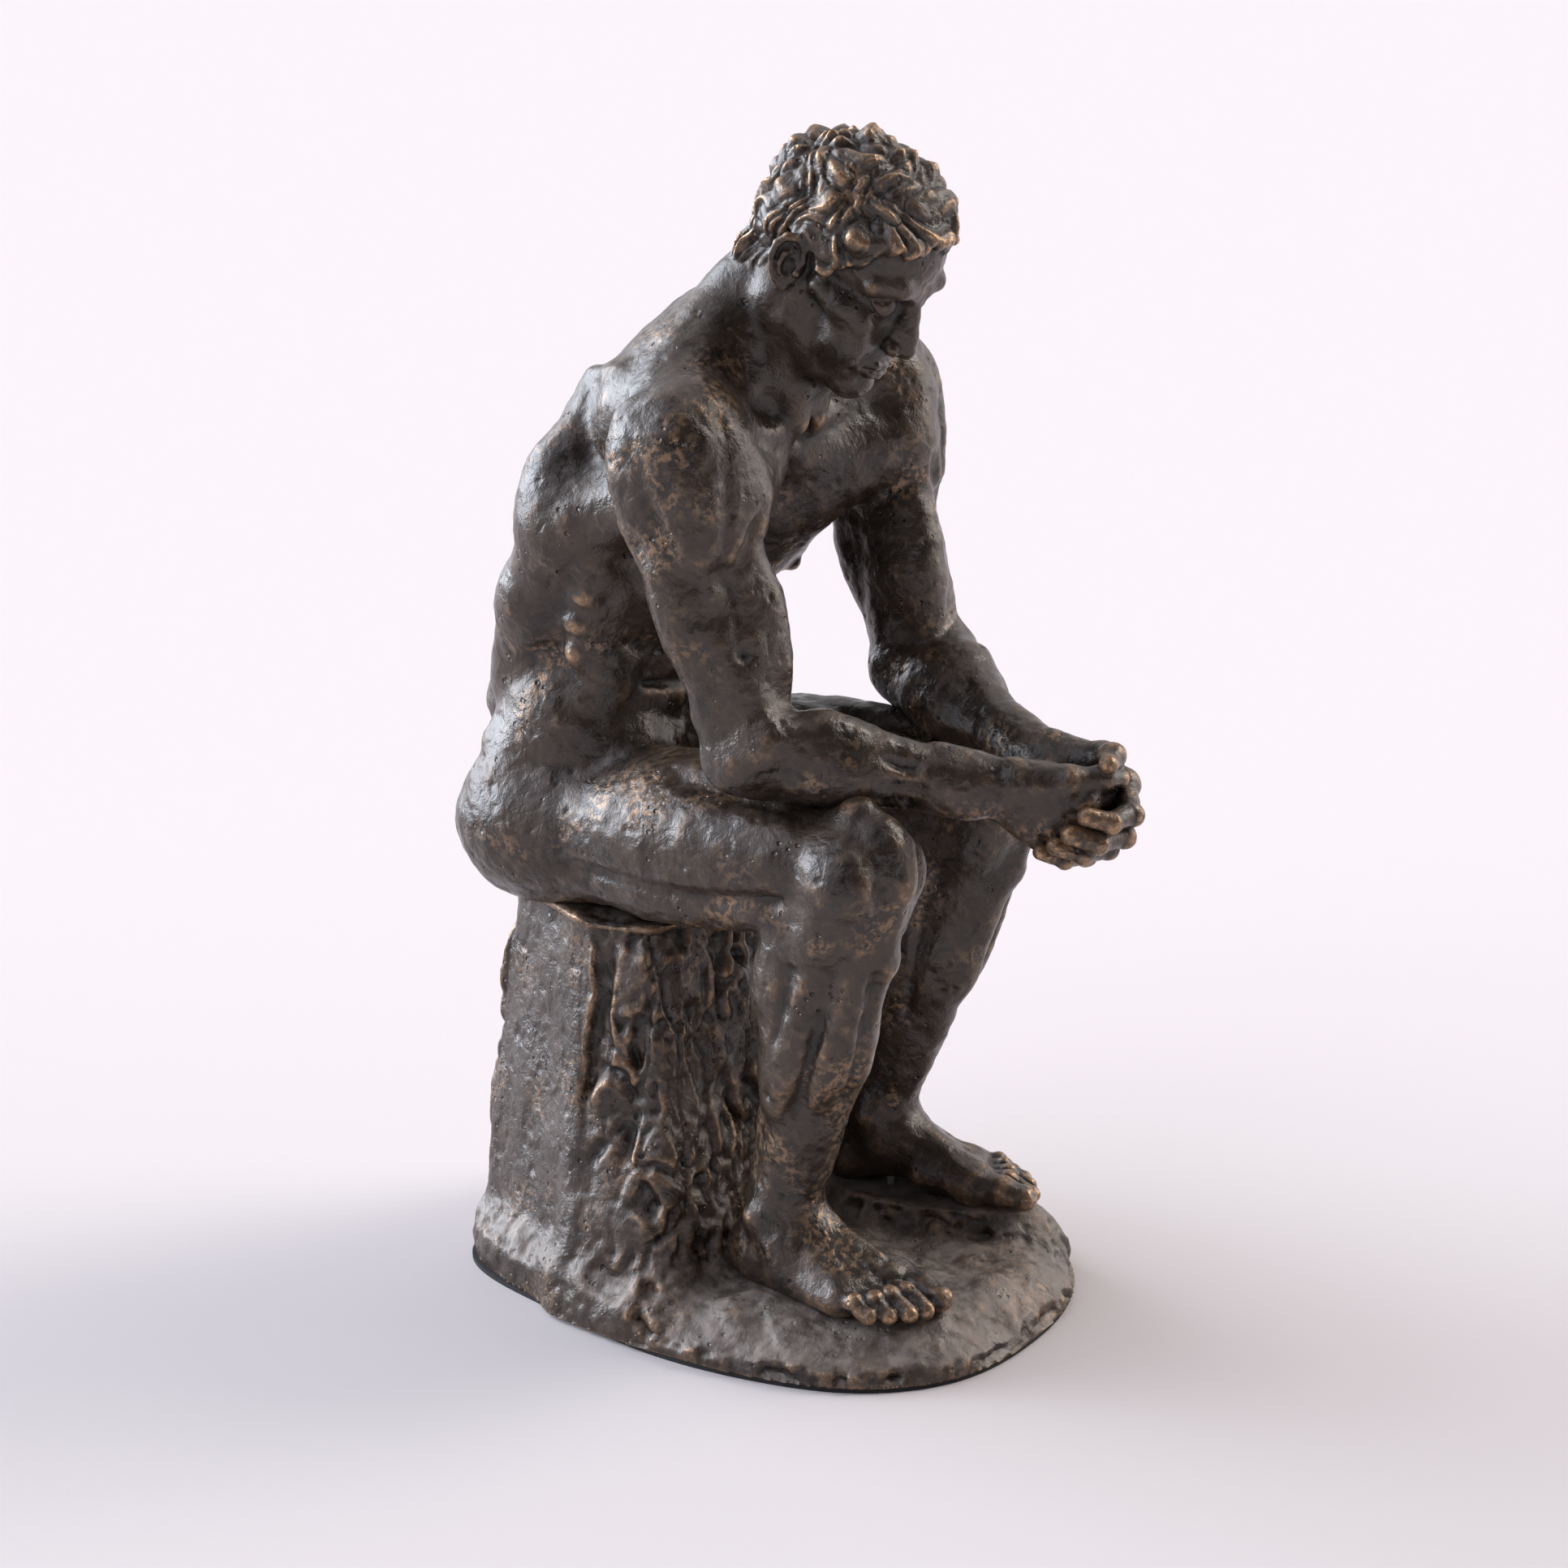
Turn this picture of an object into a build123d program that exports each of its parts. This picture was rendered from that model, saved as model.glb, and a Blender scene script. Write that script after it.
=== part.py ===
"""Table-top bronze of a seated, pensive figure on a rock.

The figure is hollow cast in sections (trunk, head, two arms, joined hands, two
legs) that meet on flat joint faces keyed with bronze dowels. It sits on a
separately cast rock seat with a ground mound, held by a threaded stud at the
seat and one in each foot. A board closes the underside, and felt covers it.

Millimetres. +Z up, the figure faces -Y, +X is the figure's left.
The origin is the centre of the felt's underside.
"""

from build123d import *
import math
import os

# ---------------------------------------------------------------- dimensions
U = 2.9  # mm per sculptor's unit: the figure would stand 180 units tall
Y_SHIFT = 11.5  # units, brings the middle of the footprint to the origin
GROUND = 17.0  # height of the ground under the right foot
LEDGE = 2.5  # units, extra height of the ground under the left foot
SEAT = 38.0  # units above the ground, the flat top of the rock
WALL = 3.6  # thickness of the casting
FELT = 1.5  # felt thickness
BOARD = 3.0  # closing board thickness
DOWEL_R, DOWEL_L = 1.5, 12.0
SMALL_DOWEL_R, SMALL_DOWEL_L = 1.25, 9.0
DOWEL_GAP = 0.04  # radial clearance of dowels in their holes
SEAT_STUD_R, FOOT_STUD_R = 3.0, 2.0
STUD_GAP = 0.25  # radial clearance of studs in the rock
SCREW_R, SCREW_HEAD_R, SCREW_L = 1.5, 3.0, 9.0
PILLAR_R = 5.0

# ------------------------------------------------- skeleton, in units (x,y,z)
# trunk stations: centre, half width, half depth, normal of the section
TRUNK = [
    ((0, 9.6, 38.0), 15.5, 10.8, (0, 0.00, 1)),
    ((0, 10.4, 43.0), 17.2, 12.0, (0, 0.00, 1)),
    ((0, 11.0, 51.2), 16.0, 11.4, (0, 0.00, 1)),
    ((0, 10.4, 60.8), 14.8, 10.8, (0, -0.16, 1)),
    ((0, 7.2, 71.8), 16.2, 12.0, (0, -0.42, 1)),
    ((0, 1.2, 82.4), 17.2, 12.4, (0, -0.62, 1)),
    ((0, -5.2, 91.0), 15.0, 10.6, (0, -0.74, 1)),
    ((0, -9.2, 96.4), 10.4, 8.4, (0, -0.80, 1)),
]
NECK = [
    ((0, -8.4, 95.2), 8.8, 8.6, (0, -0.76, 1)),
    ((0, -12.6, 99.28), 7.1, 7.3, (0, -0.692, 1)),
    ((0, -15.6, 103.0), 6.4, 7.0, (0, -0.70, 1)),
    ((0, -18.6, 107.2), 6.2, 7.0, (0, -0.60, 1)),
]
NECK_CUT = 1  # index of the neck station on the head's joint face
# head stations run up the head's own axis, which is tilted forward
HEAD_TILT = 32.0
HEAD_O = (0, -20.6, 109.4)  # between the ear canals
# height along the axis, half width, half depth, forward shift
HEAD = [
    (-11.8, 1.9, 1.7, 7.4),
    (-10.8, 3.1, 2.9, 6.6),
    (-8.4, 4.7, 5.0, 4.9),
    (-5.0, 5.9, 7.2, 2.6),
    (-1.0, 7.2, 9.0, 0.7),
    (3.0, 8.0, 10.1, -0.2),
    (7.0, 7.7, 9.7, -0.6),
    (10.2, 5.9, 7.5, -1.0),
    (12.2, 3.2, 4.0, -1.0),
]
SHOULDER_X = 15.5  # joint face of each arm
SHOULDER = {-1: (-19.4, -12.6, 92.8), 1: (19.4, -12.6, 93.0)}
ELBOW = {-1: (-17.6, -19.8, 61.0), 1: (17.2, -19.4, 62.0)}
WRIST = {-1: (-4.9, -41.0, 57.2), 1: (4.9, -41.2, 57.8)}
HIP = {-1: (-9.0, 10.0, 47.0), 1: (9.0, 10.0, 47.0)}
KNEE = {-1: (-15.5, -32.0, 49.3), 1: (13.5, -31.5, 51.1)}
ANKLE = {-1: (-12.0, -20.8, 8.5), 1: (12.0, -18.4, 11.0)}
FOOT_TURN = {-1: 6.0, 1: 10.0}  # degrees that each foot points outward
HIP_T = 0.17  # share of the thigh that belongs to the trunk casting


def P(x, y, z):
    """A point of the skeleton, in millimetres in the statue's frame."""
    return Vector(x * U, (y + Y_SHIFT) * U, GROUND + z * U)


def lerp(p, q, t):
    return tuple(a + (b - a) * t for a, b in zip(p, q))


def ring(centre, normal, side, a, b):
    """An elliptical section: a along side, b across it, both in units."""
    n = Vector(*normal).normalized()
    s = Vector(*side)
    s = (s - n * s.dot(n)).normalized()
    with BuildSketch(Plane(origin=P(*centre), x_dir=s, z_dir=n)) as section:
        Ellipse(a * U, b * U)
    return section.sketch


def stations_loft(stations, side=(1, 0, 0), thin=0.0, mode=Mode.ADD):
    """A loft through (centre, a, b, normal) stations, thinned by millimetres."""
    rings = [
        ring(centre, normal, side, max(a - thin / U, 0.5), max(b - thin / U, 0.5))
        for centre, a, b, normal in stations
    ]
    loft(sections=rings, mode=mode)


def along(p, q, rows, up=(0, 0, 1)):
    """Stations between joints p and q. Rows are (share, half width across,
    half depth, shift across, shift in depth)."""
    d = Vector(*q) - Vector(*p)
    n = d.normalized()
    u = Vector(*up)
    u = (u - n * u.dot(n)).normalized()
    s = u.cross(n)
    made = []
    for t, a, b, ds, du in rows:
        c = Vector(*p) + d * t + s * ds + u * du
        made.append((tuple(c), a, b, tuple(n)))
    return made, tuple(s)


def ball(centre, r):
    with Locations(P(*centre)):
        Sphere(r * U)


# ------------------------------------------------------------ limb sections
UPPER_ARM_ROWS = [
    (0.00, 6.4, 6.6, 0, 0),
    (0.16, 7.0, 7.3, 0, 0.1),
    (0.34, 6.6, 7.2, 0, 0.1),
    (0.56, 5.9, 6.9, 0, 0.3),
    (0.80, 5.2, 5.7, 0, 0.2),
    (1.00, 4.6, 4.8, 0, 0),
]
FOREARM_ROWS = [
    (0.0, 4.7, 4.8, 0, 0),
    (0.22, 5.6, 5.5, 0, 0.2),
    (0.45, 5.1, 5.0, 0, 0.1),
    (0.72, 4.1, 3.8, 0, 0),
    (1.0, 3.4, 3.0, 0, 0),
]
THIGH_ROWS = [
    (0.0, 9.6, 9.4, 0, 0.2),
    (HIP_T, 9.8, 9.6, 0, 0.3),
    (0.42, 9.5, 9.4, 0, 0.3),
    (0.66, 8.7, 8.8, 0, 0.3),
    (0.86, 7.5, 7.7, 0, 0.3),
    (1.0, 6.6, 6.7, 0, 0.2),
]
SHIN_ROWS = [
    (0.0, 6.2, 6.3, 0, 0.1),
    (0.14, 6.4, 7.1, 0, -0.6),
    (0.30, 7.1, 7.8, 0, -1.1),
    (0.50, 6.4, 7.1, 0, -0.9),
    (0.75, 4.8, 5.3, 0, -0.5),
    (0.98, 4.0, 4.6, 0, -0.6),
    (1.10, 3.5, 4.0, 0, -0.6),
]
SHOULDER_BALL, ELBOW_BALL, KNEE_BALL = 6.9, 5.0, 7.2
# along the foot from heel to toe: place, half width, half height, middle height
FOOT_ROWS = [
    (-6.0, 1.8, 1.9, 2.1),
    (-4.4, 3.1, 3.3, 3.0),
    (-1.0, 3.7, 4.9, 4.5),
    (3.0, 3.9, 4.5, 3.8),
    (8.0, 4.6, 3.3, 2.6),
    (12.0, 5.0, 2.4, 1.7),
    (14.0, 4.6, 1.8, 1.4),
]
# toes, great toe first: base and tip as (forward, outward, up), radius
TOES = [
    ((12.2, -3.0, 2.1), (17.8, -3.1, 1.9), 1.6),
    ((11.8, -0.6, 2.0), (17.6, -0.6, 1.5), 1.12),
    ((11.4, 1.2, 1.95), (16.7, 1.3, 1.45), 1.08),
    ((10.8, 2.7, 1.9), (15.5, 2.9, 1.4), 1.04),
    ((10.0, 3.7, 1.9), (14.2, 4.3, 1.35), 1.0),
]
# knuckles, middle joints and end joints of the left hand's four fingers, as
# laid out level before both hands are dropped at the wrists
FINGERS = [
    ((4.9, -50.2, 69.8), (1.5, -53.2, 70.1), (-1.6, -53.0, 69.8), 1.5),
    ((5.2, -50.8, 67.6), (1.4, -53.9, 67.8), (-2.1, -53.4, 67.5), 1.55),
    ((5.1, -50.4, 65.4), (1.3, -53.5, 65.6), (-2.0, -53.0, 65.3), 1.5),
    ((4.7, -49.5, 63.3), (1.1, -52.5, 63.4), (-1.7, -52.0, 63.2), 1.36),
]
THUMB = ((4.1, -47.2, 70.8), (2.0, -48.2, 72.7), (-0.3, -48.9, 73.1), 1.25)
HAND_DROP = 38.0  # degrees
HAND_SCALE = 1.08


def rod(p, q, r):
    """A round-ended rod between two points, in units."""
    a, b = P(*p), P(*q)
    for end in (a, b):
        with Locations(end):
            Sphere(r * U)
    with Locations(Plane(origin=a, z_dir=b - a)):
        Cylinder(
            r * U, (b - a).length, align=(Align.CENTER, Align.CENTER, Align.MIN)
        )


def hand_point(x, y, z):
    """A point of the hands after the drop at the wrists."""
    c, d = math.cos(math.radians(HAND_DROP)), math.sin(math.radians(HAND_DROP))
    y, z = (y + 42.2) * HAND_SCALE, (z - 64.7) * HAND_SCALE
    return (x * HAND_SCALE, -41.1 + y * c - z * d, 57.4 + y * d + z * c)


def trunk_body(thin=0.0, mode=Mode.ADD):
    stations_loft(TRUNK, thin=thin, mode=mode)


def leg_body(s):
    """Thigh, knee, shin and foot of side s, added to the active part."""
    rows, side = along(HIP[s], KNEE[s], THIGH_ROWS)
    stations_loft(rows, side)
    ball(KNEE[s], KNEE_BALL)
    rows, side = along(KNEE[s], ANKLE[s], SHIN_ROWS, up=(0, -1, 0))
    stations_loft(rows, side)


def foot_frame(s):
    """Origin under the ankle, and the foot's forward direction."""
    a = math.radians(FOOT_TURN[s])
    ground = 0.0 if s < 0 else LEDGE
    return (ANKLE[s][0], ANKLE[s][1], ground), (s * math.sin(a), -math.cos(a), 0)


def foot_body(s):
    o, f = foot_frame(s)
    side = (-f[1], f[0], 0)
    made = []
    for place, a, b, h in FOOT_ROWS:
        c = (o[0] + f[0] * place, o[1] + f[1] * place, o[2] + h)
        made.append((c, a, b, f))
    stations_loft(made, side)
    for base, tip, r in TOES:
        ends = []
        for fw, out, up in (base, tip):
            ends.append((
                o[0] + f[0] * fw + side[0] * out * s,
                o[1] + f[1] * fw + side[1] * out * s,
                o[2] + up,
            ))
        rod(ends[0], ends[1], r)


def arm_body(s):
    sh, el, wr = SHOULDER[s], ELBOW[s], WRIST[s]
    ball(sh, SHOULDER_BALL)
    rows, side = along(sh, el, UPPER_ARM_ROWS, up=(0, -1, 0))
    stations_loft(rows, side)
    ball(el, ELBOW_BALL)
    rows, side = along(el, wr, FOREARM_ROWS)
    stations_loft(rows, side)


# ---------------------------------------------------------------- outer forms
with BuildPart() as trunk_form:
    trunk_body()
    # shoulder yoke between the two joint faces
    yoke = [
        ((-SHOULDER_X, -11.6, 92.6), 6.2, 6.3, (1, 0, 0)),
        ((0, -7.4, 91.6), 8.6, 7.2, (1, 0, 0)),
        ((SHOULDER_X, -11.6, 92.6), 6.2, 6.3, (1, 0, 0)),
    ]
    stations_loft(yoke, (0, 1, 0))
    # neck root up to the head's joint face
    stations_loft(NECK[: NECK_CUT + 1])
    # hip roots up to the legs' joint faces
    for s in (-1, 1):
        rows, side = along(HIP[s], KNEE[s], THIGH_ROWS[:2])
        stations_loft(rows, side)
    # the seat is flat where it meets the rock
    split(bisect_by=Plane(P(0, 0, SEAT), z_dir=(0, 0, 1)), keep=Keep.TOP)

with BuildPart() as right_leg_form:
    leg_body(-1)
    foot_body(-1)
    split(bisect_by=Plane(P(0, 0, 0), z_dir=(0, 0, 1)), keep=Keep.TOP)

with BuildPart() as left_leg_form:
    leg_body(1)
    foot_body(1)
    split(bisect_by=Plane(P(0, 0, LEDGE), z_dir=(0, 0, 1)), keep=Keep.TOP)


def hip_plane(s, z=1):
    """The joint face between trunk and leg, its normal towards the knee."""
    d = Vector(*KNEE[s]) - Vector(*HIP[s])
    return Plane(P(*lerp(HIP[s], KNEE[s], HIP_T)), z_dir=d.normalized() * z)


def wrist_plane(s):
    d = Vector(*WRIST[s]) - Vector(*ELBOW[s])
    return Plane(P(*WRIST[s]), z_dir=d.normalized())


def shoulder_plane(s):
    return Plane(P(s * SHOULDER_X, -11.6, 92.6), x_dir=(0, 1, 0), z_dir=(s, 0, 0))


NECK_PLANE = Plane(
    P(*NECK[NECK_CUT][0]), x_dir=(1, 0, 0), z_dir=Vector(*NECK[NECK_CUT][3])
)


def dowel_holes(plane, spots, r, length):
    """Blind or through holes for dowels that straddle a joint face."""
    with Locations(plane):
        with Locations(*[(x, y, 0) for x, y in spots]):
            Cylinder(r + DOWEL_GAP, length + 0.4, mode=Mode.SUBTRACT)


TWO = [(-8.0, 0.0), (8.0, 0.0)]
ONE = [(0.0, 0.0)]


# --------------------------------------------------------------------- torso
with BuildPart() as torso:
    add(trunk_form.part)
    # core: the hollow inside the casting
    core = [
        (c, a - WALL / U, b - WALL / U, n)
        for c, a, b, n in TRUNK[:7]
    ]
    core[0] = ((0, 9.6, SEAT + 3.4), 13.6, 8.8, (0, 0, 1))
    core[6] = ((0, -4.4, 89.6), 11.0, 7.2, (0, -0.74, 1))
    stations_loft(core, mode=Mode.SUBTRACT)
    for s in (-1, 1):
        dowel_holes(shoulder_plane(s), TWO, DOWEL_R, DOWEL_L)
        dowel_holes(hip_plane(s), [(-11.0, 0), (11.0, 0)], DOWEL_R, DOWEL_L)
    dowel_holes(NECK_PLANE, TWO, DOWEL_R, DOWEL_L)
    # tapped hole for the seat stud
    with Locations(P(0, 9.6, SEAT)):
        Cylinder(SEAT_STUD_R + 0.02, 24, mode=Mode.SUBTRACT)

# ---------------------------------------------------------------------- head
head_axis = Vector(
    0, -math.sin(math.radians(HEAD_TILT)), math.cos(math.radians(HEAD_TILT))
)
head_front = Vector(
    0, -math.cos(math.radians(HEAD_TILT)), -math.sin(math.radians(HEAD_TILT))
)


def head_point(x, f, h):
    """A point of the head: x to its left, f forward, h up its own axis."""
    c = Vector(*HEAD_O) + Vector(1, 0, 0) * x + head_front * f + head_axis * h
    return tuple(c)


with BuildPart() as head:
    made = [
        (head_point(0, shift, h), a, b, tuple(head_axis))
        for h, a, b, shift in HEAD
    ]
    stations_loft(made)
    stations_loft(NECK[NECK_CUT:])
    # nose
    nose = [
        (head_point(0, 9.2, 1.6), 0.8, 0.9, tuple(head_axis)),
        (head_point(0, 9.9, -1.4), 1.1, 1.6, tuple(head_axis)),
        (head_point(0, 10.3, -3.6), 1.7, 1.9, tuple(head_axis)),
    ]
    stations_loft(nose)
    # ears
    for s in (-1, 1):
        ear = [
            (head_point(s * 6.6, -0.2, -0.6), 1.4, 2.6, (1, 0, 0)),
            (head_point(s * 8.1, -0.9, -0.4), 1.9, 3.2, (1, 0, 0)),
        ]
        stations_loft(ear, tuple(head_front))
    # hollow of the skull
    core = [
        (head_point(0, shift - 0.2, h), a - WALL / U, b - WALL / U, tuple(head_axis))
        for h, a, b, shift in HEAD[3:8]
    ]
    stations_loft(core, mode=Mode.SUBTRACT)
    split(bisect_by=NECK_PLANE, keep=Keep.TOP)
    dowel_holes(NECK_PLANE, TWO, DOWEL_R, DOWEL_L)

# ---------------------------------------------------------------------- arms
with BuildPart() as right_arm:
    arm_body(-1)
    split(bisect_by=wrist_plane(-1), keep=Keep.BOTTOM)
    add(trunk_form.part, mode=Mode.SUBTRACT)
    add(right_leg_form.part, mode=Mode.SUBTRACT)
    rows, side = along(SHOULDER[-1], ELBOW[-1], UPPER_ARM_ROWS[1:5], up=(0, -1, 0))
    stations_loft(rows, side, thin=WALL + 0.8, mode=Mode.SUBTRACT)
    dowel_holes(shoulder_plane(-1), TWO, DOWEL_R, DOWEL_L)
    dowel_holes(wrist_plane(-1), ONE, SMALL_DOWEL_R, SMALL_DOWEL_L)

with BuildPart() as left_arm:
    arm_body(1)
    split(bisect_by=wrist_plane(1), keep=Keep.BOTTOM)
    add(trunk_form.part, mode=Mode.SUBTRACT)
    add(left_leg_form.part, mode=Mode.SUBTRACT)
    rows, side = along(SHOULDER[1], ELBOW[1], UPPER_ARM_ROWS[1:5], up=(0, -1, 0))
    stations_loft(rows, side, thin=WALL + 0.8, mode=Mode.SUBTRACT)
    dowel_holes(shoulder_plane(1), TWO, DOWEL_R, DOWEL_L)
    dowel_holes(wrist_plane(1), ONE, SMALL_DOWEL_R, SMALL_DOWEL_L)

# --------------------------------------------------------------------- hands
with BuildPart() as clasped_hands:
    for s in (-1, 1):
        n = (Vector(*WRIST[s]) - Vector(*ELBOW[s])).normalized()
        back = (Vector(*hand_point(0, -46, 66)) - Vector(*hand_point(0, -42, 66))).normalized()
        palm = [
            (WRIST[s], 3.4, 3.0, tuple(n)),
            (tuple(Vector(*WRIST[s]) + n * 2.6), 3.8, 3.2, tuple(n)),
            (hand_point(s * 2.6, -46.8, 66.4), 3.3, 4.6, (-s * 0.35, back.Y, back.Z)),
            (hand_point(s * 2.2, -50.0, 66.3), 3.0, 4.3, (-s * 0.2, back.Y, back.Z)),
        ]
        stations_loft(palm, (1, 0, 0))
    ball(hand_point(0.8, -50.0, 66.4), 4.2)
    for knuckle, middle, end, r in FINGERS + [THUMB]:
        rod(hand_point(*knuckle), hand_point(*middle), r)
        rod(hand_point(*middle), hand_point(*end), r - 0.12)
    for s in (-1, 1):
        split(bisect_by=wrist_plane(s), keep=Keep.TOP)
        dowel_holes(wrist_plane(s), ONE, SMALL_DOWEL_R, SMALL_DOWEL_L)

# ---------------------------------------------------------------------- legs
def leg_core(s):
    """The hollow of the thigh and of the calf."""
    rows, side = along(HIP[s], KNEE[s], THIGH_ROWS[2:5])
    stations_loft(rows, side, thin=WALL, mode=Mode.SUBTRACT)
    rows, side = along(KNEE[s], ANKLE[s], SHIN_ROWS[1:5], up=(0, -1, 0))
    stations_loft(rows, side, thin=WALL, mode=Mode.SUBTRACT)


def foot_stud_at(s, z):
    o, f = foot_frame(s)
    return P(o[0] + f[0] * 1.5, o[1] + f[1] * 1.5, z)


with BuildPart() as right_leg:
    add(right_leg_form.part)
    leg_core(-1)
    split(bisect_by=hip_plane(-1), keep=Keep.TOP)
    add(trunk_form.part, mode=Mode.SUBTRACT)
    dowel_holes(hip_plane(-1), [(-11.0, 0), (11.0, 0)], DOWEL_R, DOWEL_L)
    with Locations(foot_stud_at(-1, 0)):
        Cylinder(FOOT_STUD_R + 0.02, 18, mode=Mode.SUBTRACT)

with BuildPart() as left_leg:
    add(left_leg_form.part)
    leg_core(1)
    split(bisect_by=hip_plane(1), keep=Keep.TOP)
    add(trunk_form.part, mode=Mode.SUBTRACT)
    dowel_holes(hip_plane(1), [(-11.0, 0), (11.0, 0)], DOWEL_R, DOWEL_L)
    with Locations(foot_stud_at(1, LEDGE)):
        Cylinder(FOOT_STUD_R + 0.02, 18, mode=Mode.SUBTRACT)

# ----------------------------------------------------------------- rock base
# outlines in units, seen from above
RIM = [
    (-12.0, 21.0), (-3.0, 22.0), (8.0, 21.4), (17.0, 19.2), (21.5, 12.0), (23.0, 0.0),
    (24.2, -14.0), (24.0, -27.0), (21.0, -37.0), (11.5, -44.0), (-3.0, -46.0),
    (-14.0, -43.8), (-21.6, -37.0), (-25.6, -25.0), (-25.9, -11.0), (-22.4, 3.5),
]
SEAT_LOW = [
    (-12.0, 20.0), (2, 20.8), (17.5, 18.8), (19.8, 5), (18.5, -11.5),
    (5, -13.8), (-9, -13.2), (-18.5, -10.5), (-21.0, 3.0),
]
SEAT_TOP = [
    (-9.5, 17.5), (2, 18.2), (14.5, 16.4), (16.2, 5), (14.8, -6.5),
    (4, -8.6), (-8, -8.2), (-15.2, -5.6), (-16.8, 2.0),
]
# the slope that climbs the seat's side behind the right foot
RISE_LOW = [(-22.4, 3.5), (-24.3, -5.0), (-23.2, -12.4), (-17.5, -13.9), (-8.0, -13.6), (-8.0, 3.0)]
RISE_TOP = [(-19.5, 3.0), (-19.3, -3.0), (-18.3, -8.2), (-15.5, -10.2), (-9.0, -10.6), (-9.0, 3.0)]
RISE = 17.0


def drawn_in(points, inset):
    """The outline's points in millimetres, each moved inward by inset."""
    pts = [Vector(x * U, (y + Y_SHIFT) * U) for x, y in points]
    area = sum(
        pts[i - 1].X * pts[i].Y - pts[i].X * pts[i - 1].Y for i in range(len(pts))
    )
    turn = 1 if area > 0 else -1
    made = []
    for i, p in enumerate(pts):
        d = (pts[(i + 1) % len(pts)] - pts[i - 1]).normalized()
        inward = Vector(-d.Y, d.X) * turn
        made.append(tuple(p + inward * inset)[:2])
    return made


def outline(points, z_mm, inset=0.0):
    """A rounded outline on a level plane, pulled in by inset millimetres."""
    with BuildSketch(Plane.XY.offset(z_mm)) as level:
        with BuildLine():
            Spline(*drawn_in(points, inset), periodic=True)
        make_face()
    return level.sketch


def facets(points, z_mm, inset=0.0):
    """A faceted outline for the hewn rock, pulled in by inset millimetres."""
    with BuildSketch(Plane.XY.offset(z_mm)) as level:
        with BuildLine():
            Polyline(*drawn_in(points, inset), close=True)
        make_face()
    return level.sketch


SEAT_Z = P(0, 0, SEAT).Z
PILLARS = [(-15.0, -33.0), (15.0, -31.0), (-14.4, 9.9), (16.0, 12.0)]
CEILING = GROUND - WALL

with BuildPart() as rock_base:
    loft(
        sections=[
            outline(RIM, FELT),
            outline(RIM, FELT + 6.5, inset=0.8),
            outline(RIM, GROUND, inset=9.0),
        ],
        ruled=True,
    )
    loft(sections=[facets(SEAT_LOW, GROUND - 3.0), facets(SEAT_TOP, SEAT_Z)], ruled=True)
    loft(
        sections=[facets(RISE_LOW, GROUND - 3.0), facets(RISE_TOP, GROUND + RISE * U)],
        ruled=True,
    )
    # the higher ledge under the left foot
    ledge_o, ledge_f = foot_frame(1)
    with BuildSketch(Plane.XY.offset(GROUND - 2.0)):
        with Locations((P(13.2, -25.5, 0).X, P(13.2, -25.5, 0).Y)):
            Ellipse(6.8 * U, 13.6 * U, rotation=9)
    with BuildSketch(Plane.XY.offset(GROUND + LEDGE * U)):
        with Locations((P(13.2, -25.5, 0).X, P(13.2, -25.5, 0).Y)):
            Ellipse(5.5 * U, 12.4 * U, rotation=9)
    loft(ruled=True)
    # hollow from below: the mound, then the seat
    loft(
        sections=[
            outline(RIM, FELT, inset=WALL),
            outline(RIM, FELT + 6.0, inset=WALL + 1.0),
            outline(RIM, CEILING, inset=9.0 + WALL + 1.5),
        ],
        ruled=True,
        mode=Mode.SUBTRACT,
    )
    loft(
        sections=[
            facets(SEAT_LOW, CEILING - 2.0, inset=WALL + 2.0),
            facets(SEAT_TOP, SEAT_Z - WALL - 1.0, inset=WALL),
        ],
        ruled=True,
        mode=Mode.SUBTRACT,
    )
    # pillars that take the closing board's screws
    with BuildSketch(Plane.XY.offset(FELT + BOARD)):
        for x, y in PILLARS:
            with Locations((P(x, y, 0).X, P(x, y, 0).Y)):
                Circle(PILLAR_R)
    extrude(amount=CEILING - FELT - BOARD + 1.5)
    with Locations(*[P(x, y, 0) - Vector(0, 0, GROUND - FELT - BOARD) for x, y in PILLARS]):
        Cylinder(
            SCREW_R + 0.02, 7.5, align=(Align.CENTER, Align.CENTER, Align.MIN),
            mode=Mode.SUBTRACT,
        )
    # clearance holes for the seat and foot studs
    with Locations(P(0, 9.6, SEAT)):
        Cylinder(SEAT_STUD_R + STUD_GAP, 20, mode=Mode.SUBTRACT)
    with Locations(foot_stud_at(-1, 0)):
        Cylinder(FOOT_STUD_R + STUD_GAP, 16, mode=Mode.SUBTRACT)
    with Locations(foot_stud_at(1, 0)):
        Cylinder(FOOT_STUD_R + STUD_GAP, 22, mode=Mode.SUBTRACT)

# ------------------------------------------------------ underside: board, felt
with BuildPart() as closing_board:
    extrude(to_extrude=outline(RIM, FELT, inset=WALL + 1.2), amount=BOARD)
    with Locations(*[P(x, y, 0) - Vector(0, 0, GROUND - FELT) for x, y in PILLARS]):
        Cylinder(
            SCREW_R + 0.2, BOARD, align=(Align.CENTER, Align.CENTER, Align.MIN),
            mode=Mode.SUBTRACT,
        )
        Cone(
            SCREW_HEAD_R + 0.1, SCREW_R + 0.15, 1.8,
            align=(Align.CENTER, Align.CENTER, Align.MIN), mode=Mode.SUBTRACT,
        )

with BuildPart() as board_screws:
    with Locations(*[P(x, y, 0) - Vector(0, 0, GROUND - FELT) for x, y in PILLARS]):
        Cone(
            SCREW_HEAD_R, SCREW_R, 1.7,
            align=(Align.CENTER, Align.CENTER, Align.MIN),
        )
        Cylinder(SCREW_R, SCREW_L, align=(Align.CENTER, Align.CENTER, Align.MIN))

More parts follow.
